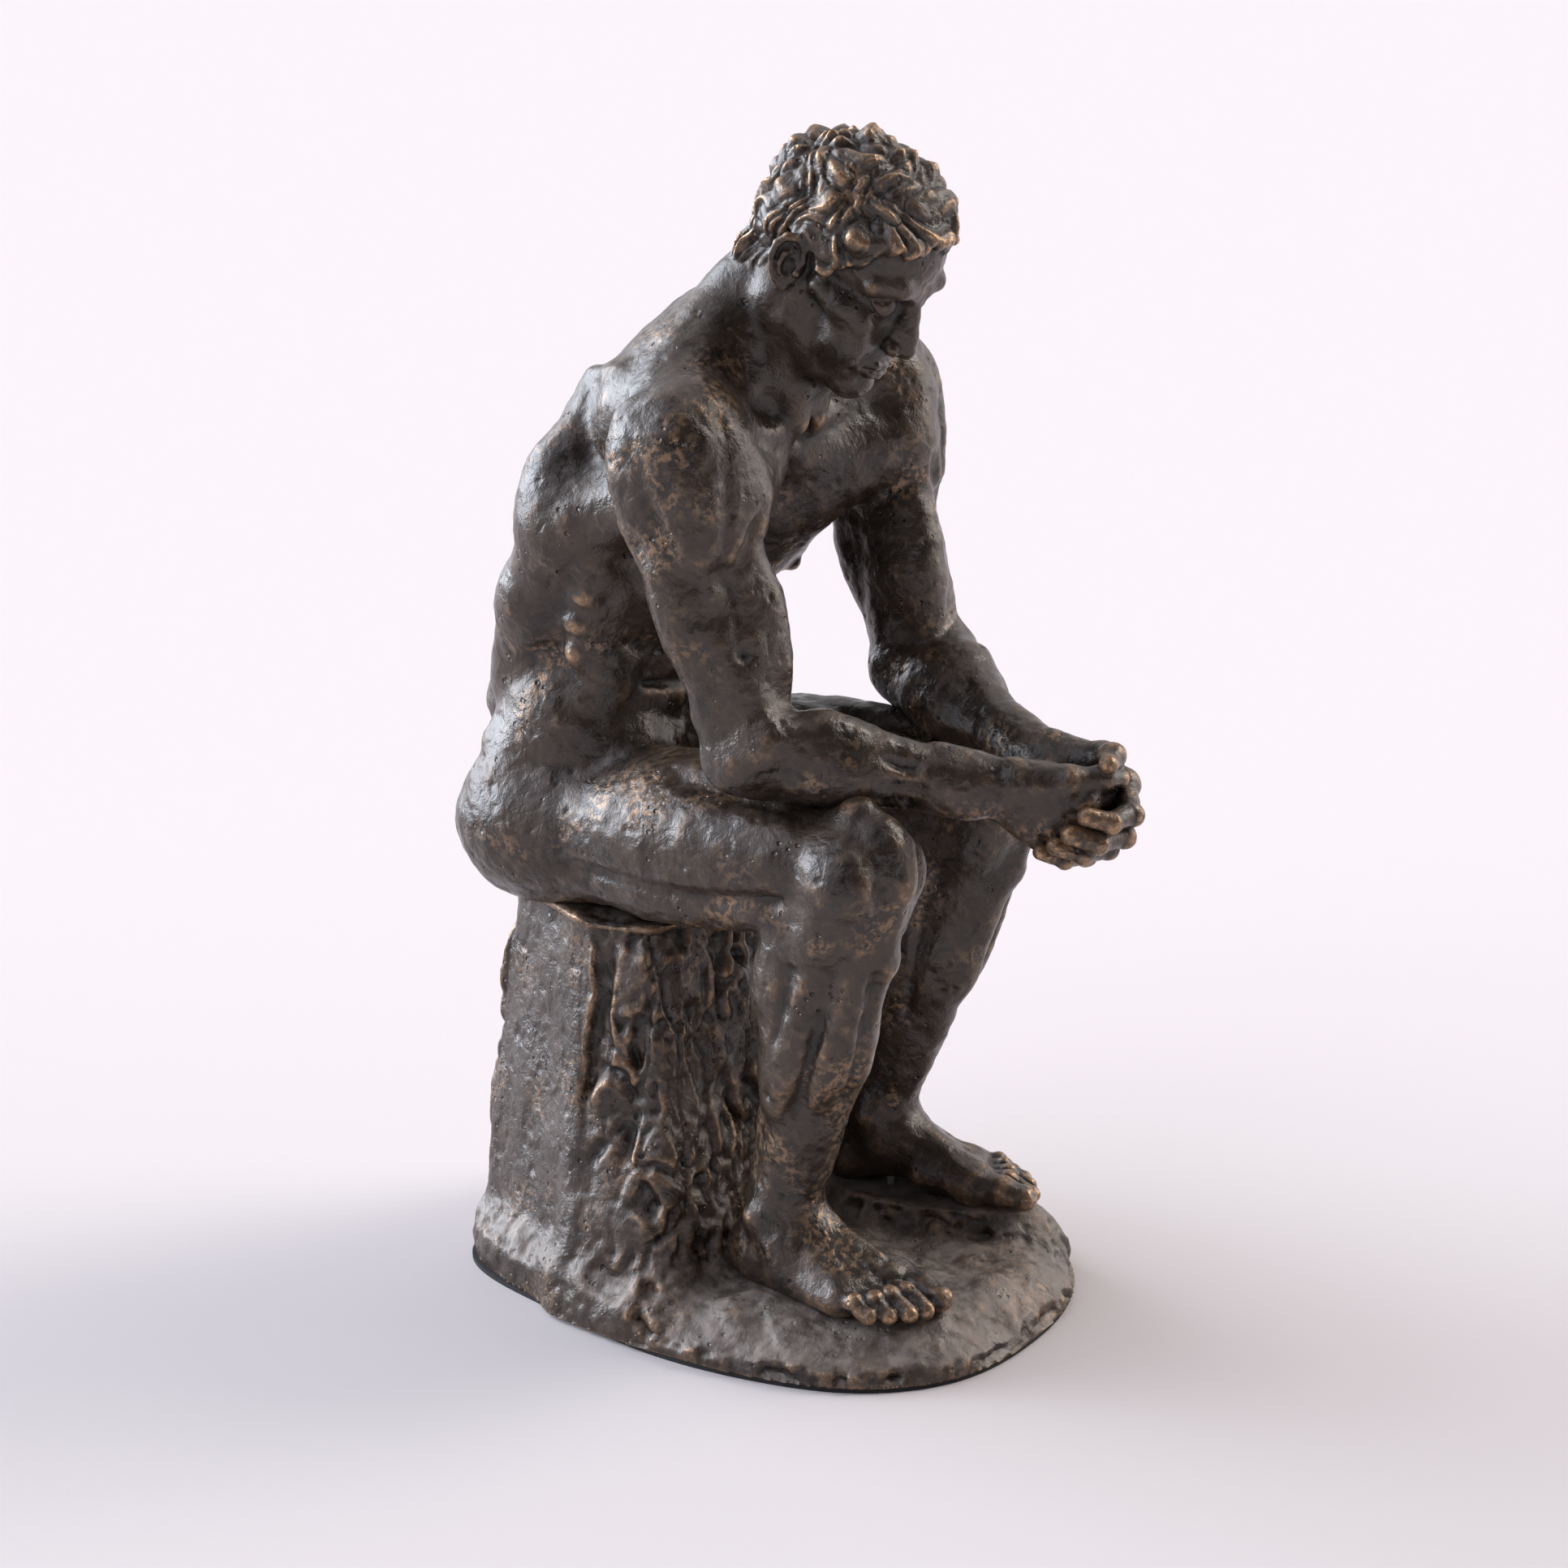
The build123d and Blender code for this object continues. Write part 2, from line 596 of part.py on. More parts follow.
with BuildPart() as felt_pad:
    extrude(to_extrude=outline(RIM, 0.0, inset=1.0), amount=FELT)


# ------------------------------------------------------------------ fasteners
def dowels(planes_spots, r, length):
    for plane, spots in planes_spots:
        with Locations(plane):
            with Locations(*[(x, y, 0) for x, y in spots]):
                Cylinder(r, length)


with BuildPart() as neck_dowels:
    dowels([(NECK_PLANE, TWO)], DOWEL_R, DOWEL_L)

with BuildPart() as shoulder_dowels:
    dowels([(shoulder_plane(-1), TWO), (shoulder_plane(1), TWO)], DOWEL_R, DOWEL_L)

with BuildPart() as hip_dowels:
    dowels(
        [(hip_plane(-1), [(-11.0, 0), (11.0, 0)]), (hip_plane(1), [(-11.0, 0), (11.0, 0)])],
        DOWEL_R, DOWEL_L,
    )

with BuildPart() as wrist_dowels:
    dowels([(wrist_plane(-1), ONE), (wrist_plane(1), ONE)], SMALL_DOWEL_R, SMALL_DOWEL_L)

with BuildPart() as seat_stud:
    with Locations(P(0, 9.6, SEAT) + Vector(0, 0, -6.0)):
        Cylinder(SEAT_STUD_R, 34)
    chamfer(seat_stud.edges().filter_by(GeomType.CIRCLE), 0.6)

SEAT_UNDER = SEAT_Z - WALL - 1.0

with BuildPart() as seat_washer:
    with BuildSketch(Plane.XY.offset(SEAT_UNDER - 1.6)):
        with Locations((P(0, 9.6, 0).X, P(0, 9.6, 0).Y)):
            Circle(9.0)
            Circle(SEAT_STUD_R + 0.2, mode=Mode.SUBTRACT)
    extrude(amount=1.6)

with BuildPart() as seat_nut:
    with BuildSketch(Plane.XY.offset(SEAT_UNDER - 1.6 - 5.0)):
        with Locations((P(0, 9.6, 0).X, P(0, 9.6, 0).Y)):
            RegularPolygon(5.0, 6, major_radius=False)
            Circle(SEAT_STUD_R + 0.02, mode=Mode.SUBTRACT)
    extrude(amount=5.0)

with BuildPart() as foot_studs:
    for s in (-1, 1):
        top = GROUND + (7.5 if s < 0 else 7.5 + LEDGE * U)
        with Locations(Vector(foot_stud_at(s, 0).X, foot_stud_at(s, 0).Y, top)):
            Cylinder(
                FOOT_STUD_R, top - (CEILING - 5.4),
                align=(Align.CENTER, Align.CENTER, Align.MAX),
            )

with BuildPart() as foot_washers:
    with BuildSketch(Plane.XY.offset(CEILING - 0.8)):
        for s in (-1, 1):
            with Locations((foot_stud_at(s, 0).X, foot_stud_at(s, 0).Y)):
                Circle(4.5)
                Circle(FOOT_STUD_R + 0.15, mode=Mode.SUBTRACT)
    extrude(amount=0.8)

with BuildPart() as foot_nuts:
    with BuildSketch(Plane.XY.offset(CEILING - 0.8 - 3.2)):
        for s in (-1, 1):
            with Locations((foot_stud_at(s, 0).X, foot_stud_at(s, 0).Y)):
                RegularPolygon(3.5, 6, major_radius=False)
                Circle(FOOT_STUD_R + 0.02, mode=Mode.SUBTRACT)
    extrude(amount=3.2)

# -------------------------------------------------------------------- export
os.makedirs("parts", exist_ok=True)
NODES = {
    "rock_base": rock_base,
    "torso": torso,
    "head": head,
    "right_arm": right_arm,
    "left_arm": left_arm,
    "clasped_hands": clasped_hands,
    "right_leg": right_leg,
    "left_leg": left_leg,
    "neck_dowels": neck_dowels,
    "shoulder_dowels": shoulder_dowels,
    "hip_dowels": hip_dowels,
    "wrist_dowels": wrist_dowels,
    "seat_stud": seat_stud,
    "seat_washer": seat_washer,
    "seat_nut": seat_nut,
    "foot_studs": foot_studs,
    "foot_washers": foot_washers,
    "foot_nuts": foot_nuts,
    "closing_board": closing_board,
    "board_screws": board_screws,
    "felt_pad": felt_pad,
}
for label, made in NODES.items():
    made.part.label = label
    export_step(made.part, f"parts/{label}.step")
    box = made.part.bounding_box()
    print(label, round(made.part.volume), len(made.part.solids()), box.min, box.max)
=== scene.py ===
"""Table-top bronze of a seated, pensive figure on a rock: surfaces, light and camera.

The figure is modelled as a sculptor would: a skeleton, then masses of muscle laid
over it and blended, then the clay surface, hair and tool marks. All of it is
worked in sculptor's units (the figure would stand 180 of them tall) and placed in
the statue's own frame.
"""
import bpy
import math
import time
from concurrent.futures import ThreadPoolExecutor

import numpy as np
import openvdb
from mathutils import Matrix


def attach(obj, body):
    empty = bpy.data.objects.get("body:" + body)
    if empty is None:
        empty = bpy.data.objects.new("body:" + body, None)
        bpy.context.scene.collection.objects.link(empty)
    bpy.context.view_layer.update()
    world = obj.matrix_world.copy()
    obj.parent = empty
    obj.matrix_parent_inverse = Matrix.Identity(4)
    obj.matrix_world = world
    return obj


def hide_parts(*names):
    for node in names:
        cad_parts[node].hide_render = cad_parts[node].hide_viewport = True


T0 = time.time()
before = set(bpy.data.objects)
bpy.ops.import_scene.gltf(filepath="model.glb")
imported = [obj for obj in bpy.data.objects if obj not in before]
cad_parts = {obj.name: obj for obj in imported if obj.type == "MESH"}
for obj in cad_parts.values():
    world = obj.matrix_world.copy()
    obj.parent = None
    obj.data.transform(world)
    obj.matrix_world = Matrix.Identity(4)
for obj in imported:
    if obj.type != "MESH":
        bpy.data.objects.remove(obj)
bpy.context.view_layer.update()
F32 = np.float32

# ------------------------------------------------------------------ skeleton
U, Y_SHIFT, GROUND = 2.9, 11.5, 17.0  # mm per unit, units, mm
FELT = 1.5
LEDGE, SEAT = 2.5, 38.0


def A3(*v):
    return np.array(v, float)


def unit(v):
    v = np.asarray(v, float)
    return v / np.linalg.norm(v)


def perp(v, axis):
    """The part of v square to axis, as a unit vector."""
    return unit(v - axis * np.dot(v, axis))


SHOULDER = {-1: A3(-19.4, -12.6, 92.8), 1: A3(19.4, -12.6, 93.0)}
ELBOW = {-1: A3(-17.6, -19.8, 61.0), 1: A3(17.2, -19.4, 62.0)}
WRIST = {-1: A3(-4.9, -41.0, 57.2), 1: A3(4.9, -41.2, 57.8)}
HIP = {-1: A3(-9.0, 10.0, 47.0), 1: A3(9.0, 10.0, 47.0)}
KNEE = {-1: A3(-15.5, -32.0, 49.3), 1: A3(13.5, -31.5, 51.1)}
ANKLE = {-1: A3(-12.0, -20.8, 8.5), 1: A3(12.0, -18.4, 11.0)}
FOOT_TURN = {-1: math.radians(6.0), 1: math.radians(10.0)}
FOOT_Z = {-1: 0.0, 1: LEDGE}
HEAD_O = A3(0, -20.6, 109.4)
HEAD_TILT = math.radians(32.0)
HEAD_F = A3(0, -math.cos(HEAD_TILT), -math.sin(HEAD_TILT))
HEAD_H = A3(0, -math.sin(HEAD_TILT), math.cos(HEAD_TILT))
NECK_P, NECK_N = A3(0, -12.6, 99.28), unit(A3(0, -0.692, 1.0))

SPINE = [38.0, 43.0, 51.0, 60.0, 70.0, 79.5, 87.0, 92.5]
SPINE_Z = [38.0, 43.0, 51.2, 60.8, 71.8, 82.4, 91.0, 97.5]
SPINE_Y = [9.6, 10.4, 11.0, 10.4, 7.2, 1.2, -5.2, -10.4]
SPINE_N = [0.0, 0.03, 0.0, -0.16, -0.42, -0.62, -0.74, -0.82]


def TN(z0):
    return unit(A3(0, np.interp(z0, SPINE, SPINE_N), 1.0))


def TP(z0, x=0.0, f=0.0):
    """A point of the trunk: station up the spine, sideways, forward of the spine."""
    n = TN(z0)
    fwd = A3(0, -n[2], n[1])
    return A3(x, np.interp(z0, SPINE, SPINE_Y), np.interp(z0, SPINE, SPINE_Z)) + fwd * f


def TF(z0):
    n = TN(z0)
    return A3(0, -n[2], n[1])


# ------------------------------------------------------------- soft solids
def smin(a, b, k):
    if np.isscalar(k) and k <= 0:
        return np.minimum(a, b)
    h = np.maximum(k - np.abs(a - b), 0) / k
    return np.minimum(a, b) - h * h * k * 0.25


def smax(a, b, k):
    return -smin(-a, -b, k)


def cone_fn(a, b, ra, rb, flat=None):
    a = np.asarray(a, F32)
    ab = np.asarray(b, F32) - a
    inv = F32(1.0 / max(float(ab @ ab), 1e-9))
    if flat is not None:
        n, by = unit(flat[0]).astype(F32), F32(flat[1])

    def fn(P):
        x, y, z = P[0] - a[0], P[1] - a[1], P[2] - a[2]
        h = np.clip((x * ab[0] + y * ab[1] + z * ab[2]) * inv, 0, 1)
        x -= h * ab[0]
        y -= h * ab[1]
        z -= h * ab[2]
        q = x * x + y * y + z * z
        if flat is not None:
            c = x * n[0] + y * n[1] + z * n[2]
            q += c * c * (by * by - 1)
        return np.sqrt(q) - (F32(ra) + F32(rb - ra) * h)

    return fn


def ell_fn(c, axes, r):
    c = np.asarray(c, F32)
    M = np.asarray(axes, F32)
    r = np.asarray(r, F32)

    def fn(P):
        p = M @ (P - c[:, None])
        p /= r[:, None]
        k0 = np.sqrt((p * p).sum(0))
        p /= r[:, None]
        k1 = np.sqrt((p * p).sum(0)) + F32(1e-6)
        return k0 * (k0 - 1) / k1

    return fn


def line_d2(P, pts, n=None, soft=0.3):
    best = None
    pts = [np.asarray(p, F32) for p in pts]
    if n is not None:
        n = unit(n).astype(F32)
    for a, b in zip(pts[:-1], pts[1:]):
        ab = b - a
        inv = F32(1.0 / max(float(ab @ ab), 1e-9))
        x, y, z = P[0] - a[0], P[1] - a[1], P[2] - a[2]
        h = np.clip((x * ab[0] + y * ab[1] + z * ab[2]) * inv, 0, 1)
        x -= h * ab[0]
        y -= h * ab[1]
        z -= h * ab[2]
        q = x * x + y * y + z * z
        if n is not None:
            c = x * n[0] + y * n[1] + z * n[2]
            q -= c * c * F32(1 - soft * soft)
        best = q if best is None else np.minimum(best, q)
    return best


class Mass:
    """Masses of clay, laid on and cut away in order."""

    def __init__(self):
        self.ops = []

    def _put(self, fn, c, R, op, k):
        self.ops.append((fn, np.asarray(c, float), float(R), op, k))
        return self

    def cone(self, a, b, ra, rb=None, k=1.5, op="u", flat=None):
        rb = ra if rb is None else rb
        a, b = np.asarray(a, float), np.asarray(b, float)
        R = np.linalg.norm(b - a) / 2 + max(ra, rb) + k + 3.0
        return self._put(cone_fn(a, b, ra, rb, flat), (a + b) / 2, R, op, k)

    def chain(self, pts, radii, k=1.5, op="u", flat=None):
        for i in range(len(pts) - 1):
            self.cone(pts[i], pts[i + 1], radii[i], radii[i + 1], k if i == 0 else k, op, flat)
        return self

    def ball(self, c, r, k=1.5, op="u"):
        return self.cone(c, np.asarray(c, float) + 1e-3, r, r, k, op)

    def ell(self, c, r, axes=None, k=1.5, op="u"):
        axes = np.eye(3) if axes is None else np.array(axes, float)
        return self._put(ell_fn(c, axes, r), c, max(r) + k + 3.0, op, k)

    def fn(self, fn, c, R, op, k):
        return self._put(fn, c, R, op, k)

    def stroke(self, pts, h, w, n=None, soft=0.3):
        """Raise (h above 0) or press (below 0) the surface along a line."""
        pts = [np.asarray(p, float) for p in pts]
        c = sum(pts) / len(pts)
        far = 2.6 * w if n is None else 2.6 * w / soft
        R = max(np.linalg.norm(p - c) for p in pts) + far
        iw = F32(1.0 / (w * w))

        def go(P):
            return F32(h) * np.exp(-line_d2(P, pts, n, soft) * iw)

        return self._put(go, c, R, "s", 0)

    def field(self, P, cc, cr):
        d = np.full(P.shape[1], 8.0, F32)
        for fn, c, R, op, k in self.ops:
            g = c - cc
            if g @ g > (R + cr) ** 2:
                continue
            q = fn(P)
            if op == "u":
                d = smin(d, q, k)
            elif op == "c":
                d = smax(d, -q, k)
            else:
                d = d - q
        return d


POOL = ThreadPoolExecutor(4)


def sweep(fn, P, cell=6.0):
    """fn over scattered points, cell by cell, so that far masses are skipped."""
    P = np.ascontiguousarray(P, F32)
    key = np.floor(P / cell).astype(np.int64) + 512
    code = (key[0] * 1024 + key[1]) * 1024 + key[2]
    order = np.argsort(code, kind="stable")
    cut = np.flatnonzero(np.diff(code[order])) + 1
    groups = np.split(order, cut)

    def one(idx):
        Q = P[:, idx]
        lo, hi = Q.min(1).astype(float), Q.max(1).astype(float)
        return fn(Q, (lo + hi) / 2, np.linalg.norm(hi - lo) / 2 + 1e-3)

    parts = list(POOL.map(one, groups))
    first = parts[0]
    out = np.empty(first.shape[:-1] + (P.shape[1],), F32)
    for idx, part in zip(groups, parts):
        out[..., idx] = part
    return out


def lattice(fn, lo, hi, v, B=8):
    """fn on a box of grid points, worked out only near the surface."""
    size = v * B
    lo = np.floor(np.asarray(lo, float) / size) * size
    n = np.ceil((np.asarray(hi, float) - lo) / size).astype(int)
    g = [lo[i] + (np.arange(n[i]) + 0.5) * size - v / 2 for i in range(3)]
    C = np.stack(np.meshgrid(*g, indexing="ij")).reshape(3, -1)
    dc = sweep(fn, C, cell=10.0).reshape(n)
    full = np.empty((n[0], B, n[1], B, n[2], B), F32)
    full[...] = np.where(dc > 0, 4 * v, -4 * v).astype(F32)[:, None, :, None, :, None]
    ijk = np.argwhere(np.abs(dc) < size * 1.05 + 0.3)
    code = ((ijk[:, 0] // 4) * 4096 + ijk[:, 1] // 4) * 4096 + ijk[:, 2] // 4
    order = np.argsort(code, kind="stable")
    groups = np.split(order, np.flatnonzero(np.diff(code[order])) + 1)
    o = np.arange(B) * v
    off = np.stack(np.meshgrid(o, o, o, indexing="ij")).reshape(3, -1).astype(F32)

    def one(idx):
        blocks = ijk[idx]
        base = (lo + blocks * size).astype(F32)
        P = (base.T[:, :, None] + off[:, None, :]).reshape(3, -1)
        a, b = P.min(1).astype(float), P.max(1).astype(float)
        d = fn(P, (a + b) / 2, np.linalg.norm(b - a) / 2)
        d = np.clip(d, -4 * v, 4 * v).reshape(-1, B, B, B)
        for (i, j, k), block in zip(blocks, d):
            full[i, :, j, :, k, :] = block

    list(POOL.map(one, groups))
    return full.reshape(n[0] * B, n[1] * B, n[2] * B), lo


def surface(A, lo, v):
    grid = openvdb.FloatGrid(4 * v)
    grid.copyFromArray(A)
    grid.gridClass = openvdb.GridClass.LEVEL_SET
    pts, quads = grid.convertToQuads(0.0)
    V = (lo + pts.astype(float) * v)
    return V, quads.astype(np.int64)[:, ::-1]


# --------------------------------------------------------------- mesh tools
def biggest(V, Q):
    """Only the largest connected part."""
    n = len(V)
    label = np.arange(n)
    a = Q.reshape(-1)
    b = np.roll(Q, -1, axis=1).reshape(-1)
    for _ in range(200):
        m = np.minimum(label[a], label[b])
        new = label.copy()
        np.minimum.at(new, a, m)
        np.minimum.at(new, b, m)
        new = new[new]
        new = new[new]
        if (new == label).all():
            break
        label = new
    root = np.bincount(label[Q[:, 0]], minlength=n).argmax()
    return compact(V, Q[label[Q[:, 0]] == root])[:2]


def compact(V, Q):
    used = np.zeros(len(V), bool)
    used[Q.reshape(-1)] = True
    new = np.cumsum(used) - 1
    return V[used], new[Q], used


def face_normals(V, Q):
    p = V[Q]
    return np.cross(p[:, 2] - p[:, 0], p[:, 3] - p[:, 1])


def vertex_normals(V, Q):
    fn = face_normals(V, Q)
    N = np.empty_like(V)
    flat = Q.reshape(-1)
    for i in range(3):
        N[:, i] = np.bincount(flat, np.repeat(fn[:, i], Q.shape[1]), len(V))
    return N / (np.linalg.norm(N, axis=1, keepdims=True) + 1e-12)


class Net:
    """Neighbour sums on a mesh."""

    def __init__(self, n, Q):
        a = Q.reshape(-1)
        b = np.roll(Q, -1, axis=1).reshape(-1)
        self.a, self.b, self.n = a, b, n
        self.count = np.bincount(a, minlength=n) + 1e-9

    def mean(self, x):
        if x.ndim == 1:
            return np.bincount(self.a, x[self.b], self.n) / self.count
        return np.stack([self.mean(x[:, i]) for i in range(x.shape[1])], 1)

    def smooth(self, x, times, by=0.6):
        for _ in range(times):
            x = x + (self.mean(x) - x) * by
        return x


# -------------------------------------------------------------------- noise
_rng = np.random.RandomState(7)
_perm = _rng.permutation(256)
_perm = np.concatenate([_perm, _perm, _perm])
_grad = _rng.normal(size=(256, 3))
_grad /= np.linalg.norm(_grad, axis=1, keepdims=True)
_grad = _grad.astype(F32)


def noise(P, scale, seed=0):
    """Smooth gradient noise, about -1 to 1. P is (N, 3); scale is the feature size."""
    q = np.asarray(P, F32) / F32(scale) + F32(37.7 * (seed + 1))
    i = np.floor(q).astype(np.int64)
    f = (q - i).astype(F32)
    w = f * f * f * (f * (f * 6 - 15) + 10)
    i &= 255
    out = 0
    for dx in (0, 1):
        px = _perm[(i[:, 0] + dx) & 255]
        wx = w[:, 0] if dx else 1 - w[:, 0]
        for dy in (0, 1):
            py = _perm[px + ((i[:, 1] + dy) & 255)]
            wy = w[:, 1] if dy else 1 - w[:, 1]
            for dz in (0, 1):
                g = _grad[_perm[py + ((i[:, 2] + dz) & 255)]]
                wz = w[:, 2] if dz else 1 - w[:, 2]
                d = g[:, 0] * (f[:, 0] - dx) + g[:, 1] * (f[:, 1] - dy) + g[:, 2] * (f[:, 2] - dz)
                out = out + d * wx * wy * wz
    return out * 1.6


def cells(P, scale, seed=0, jitter=0.85):
    """Distance to the nearest scattered point, and that point's own random number."""
    q = np.asarray(P, F32) / F32(scale) + F32(11.3 * (seed + 1))
    base = np.floor(q).astype(np.int64)
    best = np.full(len(q), 9.0, F32)
    tag = np.zeros(len(q), F32)
    for dx in (-1, 0, 1):
        for dy in (-1, 0, 1):
            for dz in (-1, 0, 1):
                c = base + np.array([dx, dy, dz])
                h = _perm[_perm[_perm[c[:, 0] & 255] + (c[:, 1] & 255)] + (c[:, 2] & 255)]
                centre = c + 0.5 + jitter * 0.5 * _grad[h]
                d = np.sqrt(((q - centre) ** 2).sum(1))
                near = d < best
                best = np.where(near, d, best)
                tag = np.where(near, h / F32(255), tag)
    return best * scale, tag


# ===================================================================== trunk
X, Y, Z = A3(1, 0, 0), A3(0, 1, 0), A3(0, 0, 1)
torso = Mass()


def trunk_axes(z0):
    n = TN(z0)
    return [X, TF(z0), n]  # sideways, forward, up the spine


# the great masses: ribcage, belly, pelvis, buttocks, shoulder girdle
torso.ell(TP(75.5, 0, 0.6), (16.0, 11.6, 16.0), trunk_axes(76), k=2)
torso.ell(TP(85.0, 0, -0.4), (16.2, 9.8, 9.5), trunk_axes(84), k=4)
torso.ell(TP(60.5, 0, 0.8), (14.2, 10.0, 13.0), trunk_axes(60), k=5)
torso.ell(A3(0, 10.0, 49.0), (15.6, 10.8, 10.5), k=4)
for s in (-1, 1):
    torso.ell(A3(s * 8.2, 13.0, 45.8), (8.8, 9.4, 8.8), k=2.5)
    torso.ell(A3(s * 11.4, 8.0, 48.4), (5.6, 7.4, 8.0), k=3.5)
    # shoulder girdle, from the neck's root out to the joint
    torso.cone(TP(88.5, s * 3.5, -1.0), A3(s * 15.4, -11.6, 93.4), 6.8, 6.0, k=5)
# upper back rounded over, neck and nape
torso.ell(TP(86.5, 0, -4.6), (12.5, 6.4, 9.0), trunk_axes(86), k=4)
torso.cone(A3(0, -8.6, 94.0), A3(0, -18.0, 105.5), 6.9, 6.1, k=4)
torso.cone(A3(0, -6.0, 96.0), A3(0, -14.2, 109.0), 5.4, 5.2, k=4)
for s in (-1, 1):
    # trapezius slopes
    torso.cone(A3(s * 3.2, -9.6, 105.0), A3(s * 9.0, -8.4, 99.4), 3.2, 3.4, k=4)
    torso.cone(A3(s * 8.0, -8.4, 99.8), A3(s * 16.0, -8.8, 96.4), 3.4, 2.6, k=4)
    torso.cone(A3(s * 2.4, -4.4, 99.5), A3(s * 13.0, -3.4, 94.5), 3.6, 3.0, k=5)
    # back: shoulder blades, drawn forward with the arms
    blade_n = unit(A3(s * 0.42, 0.80, 0.42))
    up = perp(A3(s * -0.10, -0.35, 1.0), blade_n)
    side = np.cross(up, blade_n)
    torso.ell(TP(82.0, s * 10.4, -8.6), (4.8, 6.6, 2.3), [side, up, blade_n], k=2.6)
    torso.stroke([TP(84.2, s * 6.0, -11.0), TP(86.8, s * 10.5, -10.8), TP(90.0, s * 16.0, -7.6)], 0.75, 1.7)
    torso.ell(TP(76.2, s * 11.0, -8.5), (3.6, 3.0, 1.9), [side, up, blade_n], k=3.4)
    torso.stroke([TP(85.5, s * 5.4, -11.0), TP(80.5, s * 6.2, -11.8), TP(75.0, s * 8.4, -11.2)], 0.45, 1.3)
    # between the blades and the spine
    torso.ell(TP(80.0, s * 4.2, -8.0), (3.6, 3.0, 8.6), trunk_axes(80), k=3)
    # teres and the great back muscle, down to the waist
    torso.ell(TP(80.0, s * 14.2, -6.0), (3.6, 3.8, 5.4), trunk_axes(80), k=2.6)
    torso.chain(
        [A3(s * 16.2, -10.0, 86.4), TP(77.0, s * 14.6, -2.4), TP(69.0, s * 12.4, -3.2), TP(60.0, s * 9.4, -5.0)],
        [3.2, 4.0, 3.6, 2.6], k=3.6,
    )
    # columns beside the spine
    torso.chain(
        [TP(48.0, s * 3.2, -8.6), TP(56.0, s * 3.6, -8.2), TP(64.0, s * 3.7, -8.6), TP(72.0, s * 3.6, -9.4)],
        [2.6, 3.3, 3.0, 2.3], k=3.0,
    )
    # chest: a sheet drawn from the breastbone to the arm
    for z0, x0, f0, r in ((87.5, 3.2, 7.6, 3.0), (83.0, 3.4, 9.0, 3.6), (78.6, 4.0, 9.4, 3.6)):
        torso.cone(TP(z0, s * x0, f0), A3(s * 16.0, -16.6, 87.6), r, 3.0, k=3.2)
    torso.ell(TP(79.8, s * 8.6, 9.4), (6.4, 3.6, 5.8), trunk_axes(79), k=2.4)
    torso.ball(TP(77.2, s * 9.8, 12.4), 0.8, k=0.8)
    # collar bones
    torso.stroke([TP(90.8, s * 1.8, 7.6), TP(91.6, s * 7.0, 7.2), TP(93.0, s * 12.5, 4.6), TP(93.0, s * 16.0, 1.6)], 0.75, 1.15)
    torso.stroke([TP(92.6, s * 4.4, 5.8), TP(93.8, s * 9.5, 4.6)], -0.55, 1.7)
    # saw muscles on the ribs
    for z0, x, f in ((76.5, 15.4, 3.0), (73.4, 15.0, 3.6), (70.2, 14.4, 4.2), (67.0, 13.8, 4.6)):
        torso.cone(TP(z0, s * x, f), TP(z0 - 2.4, s * (x - 3.0), f + 3.6), 1.5, 0.9, k=1.8)
    # flank over the hip bone
    torso.ell(TP(57.5, s * 11.8, 2.6), (4.4, 6.2, 6.0), trunk_axes(57), k=2.6)
    torso.ell(TP(54.0, s * 12.0, -1.6), (4.0, 5.2, 4.4), trunk_axes(57), k=2.6)
    # belly: paired blocks, creased by the bend of the trunk
    for z0, f, r in ((71.6, 9.8, (3.9, 2.4, 2.9)), (66.6, 9.4, (4.1, 2.5, 2.7)), (61.8, 9.2, (4.2, 2.6, 2.7)), (55.4, 9.4, (5.2, 3.0, 5.0))):
        torso.ell(TP(z0, s * 3.3, f), r, trunk_axes(z0), k=1.3)
    torso.ell(TP(61.5, s * 8.6, 6.4), (4.2, 3.6, 7.4), trunk_axes(61), k=3.0)
    torso.ball(A3(s * 8.0, 1.5, 54.0), 4.8, k=3.4)

torso.stroke([TP(88.0, 0, 9.6), TP(82, 0, 12.8), TP(76, 0, 13.0)], -0.8, 1.8, n=TF(80))
torso.stroke([TP(74, 0, 12.4), TP(66, 0, 11.8), TP(58, 0, 11.8)], -0.5, 1.1, n=TF(66))
torso.stroke([TP(57.0, 0, 12.2), TP(56.2, 0, 12.2)], -0.9, 0.9, n=TF(57), soft=0.6)
for z0, h in ((69.2, -0.5), (64.2, -0.7), (59.0, -0.95)):
    torso.stroke([TP(z0, -9.5, 8.4), TP(z0 - 0.4, 0, 12.4), TP(z0, 9.5, 8.4)], h, 0.9)
# hollow of the spine
torso.stroke([TP(49, 0, -11.4), TP(58, 0, -11.6), TP(66, 0, -11.8), TP(74, 0, -12.2), TP(82, 0, -11.8), TP(87, 0, -10.8)], -0.95, 1.9, n=TF(68))
torso.ball(A3(0, -2.2, 99.3), 2.6, k=3.5)
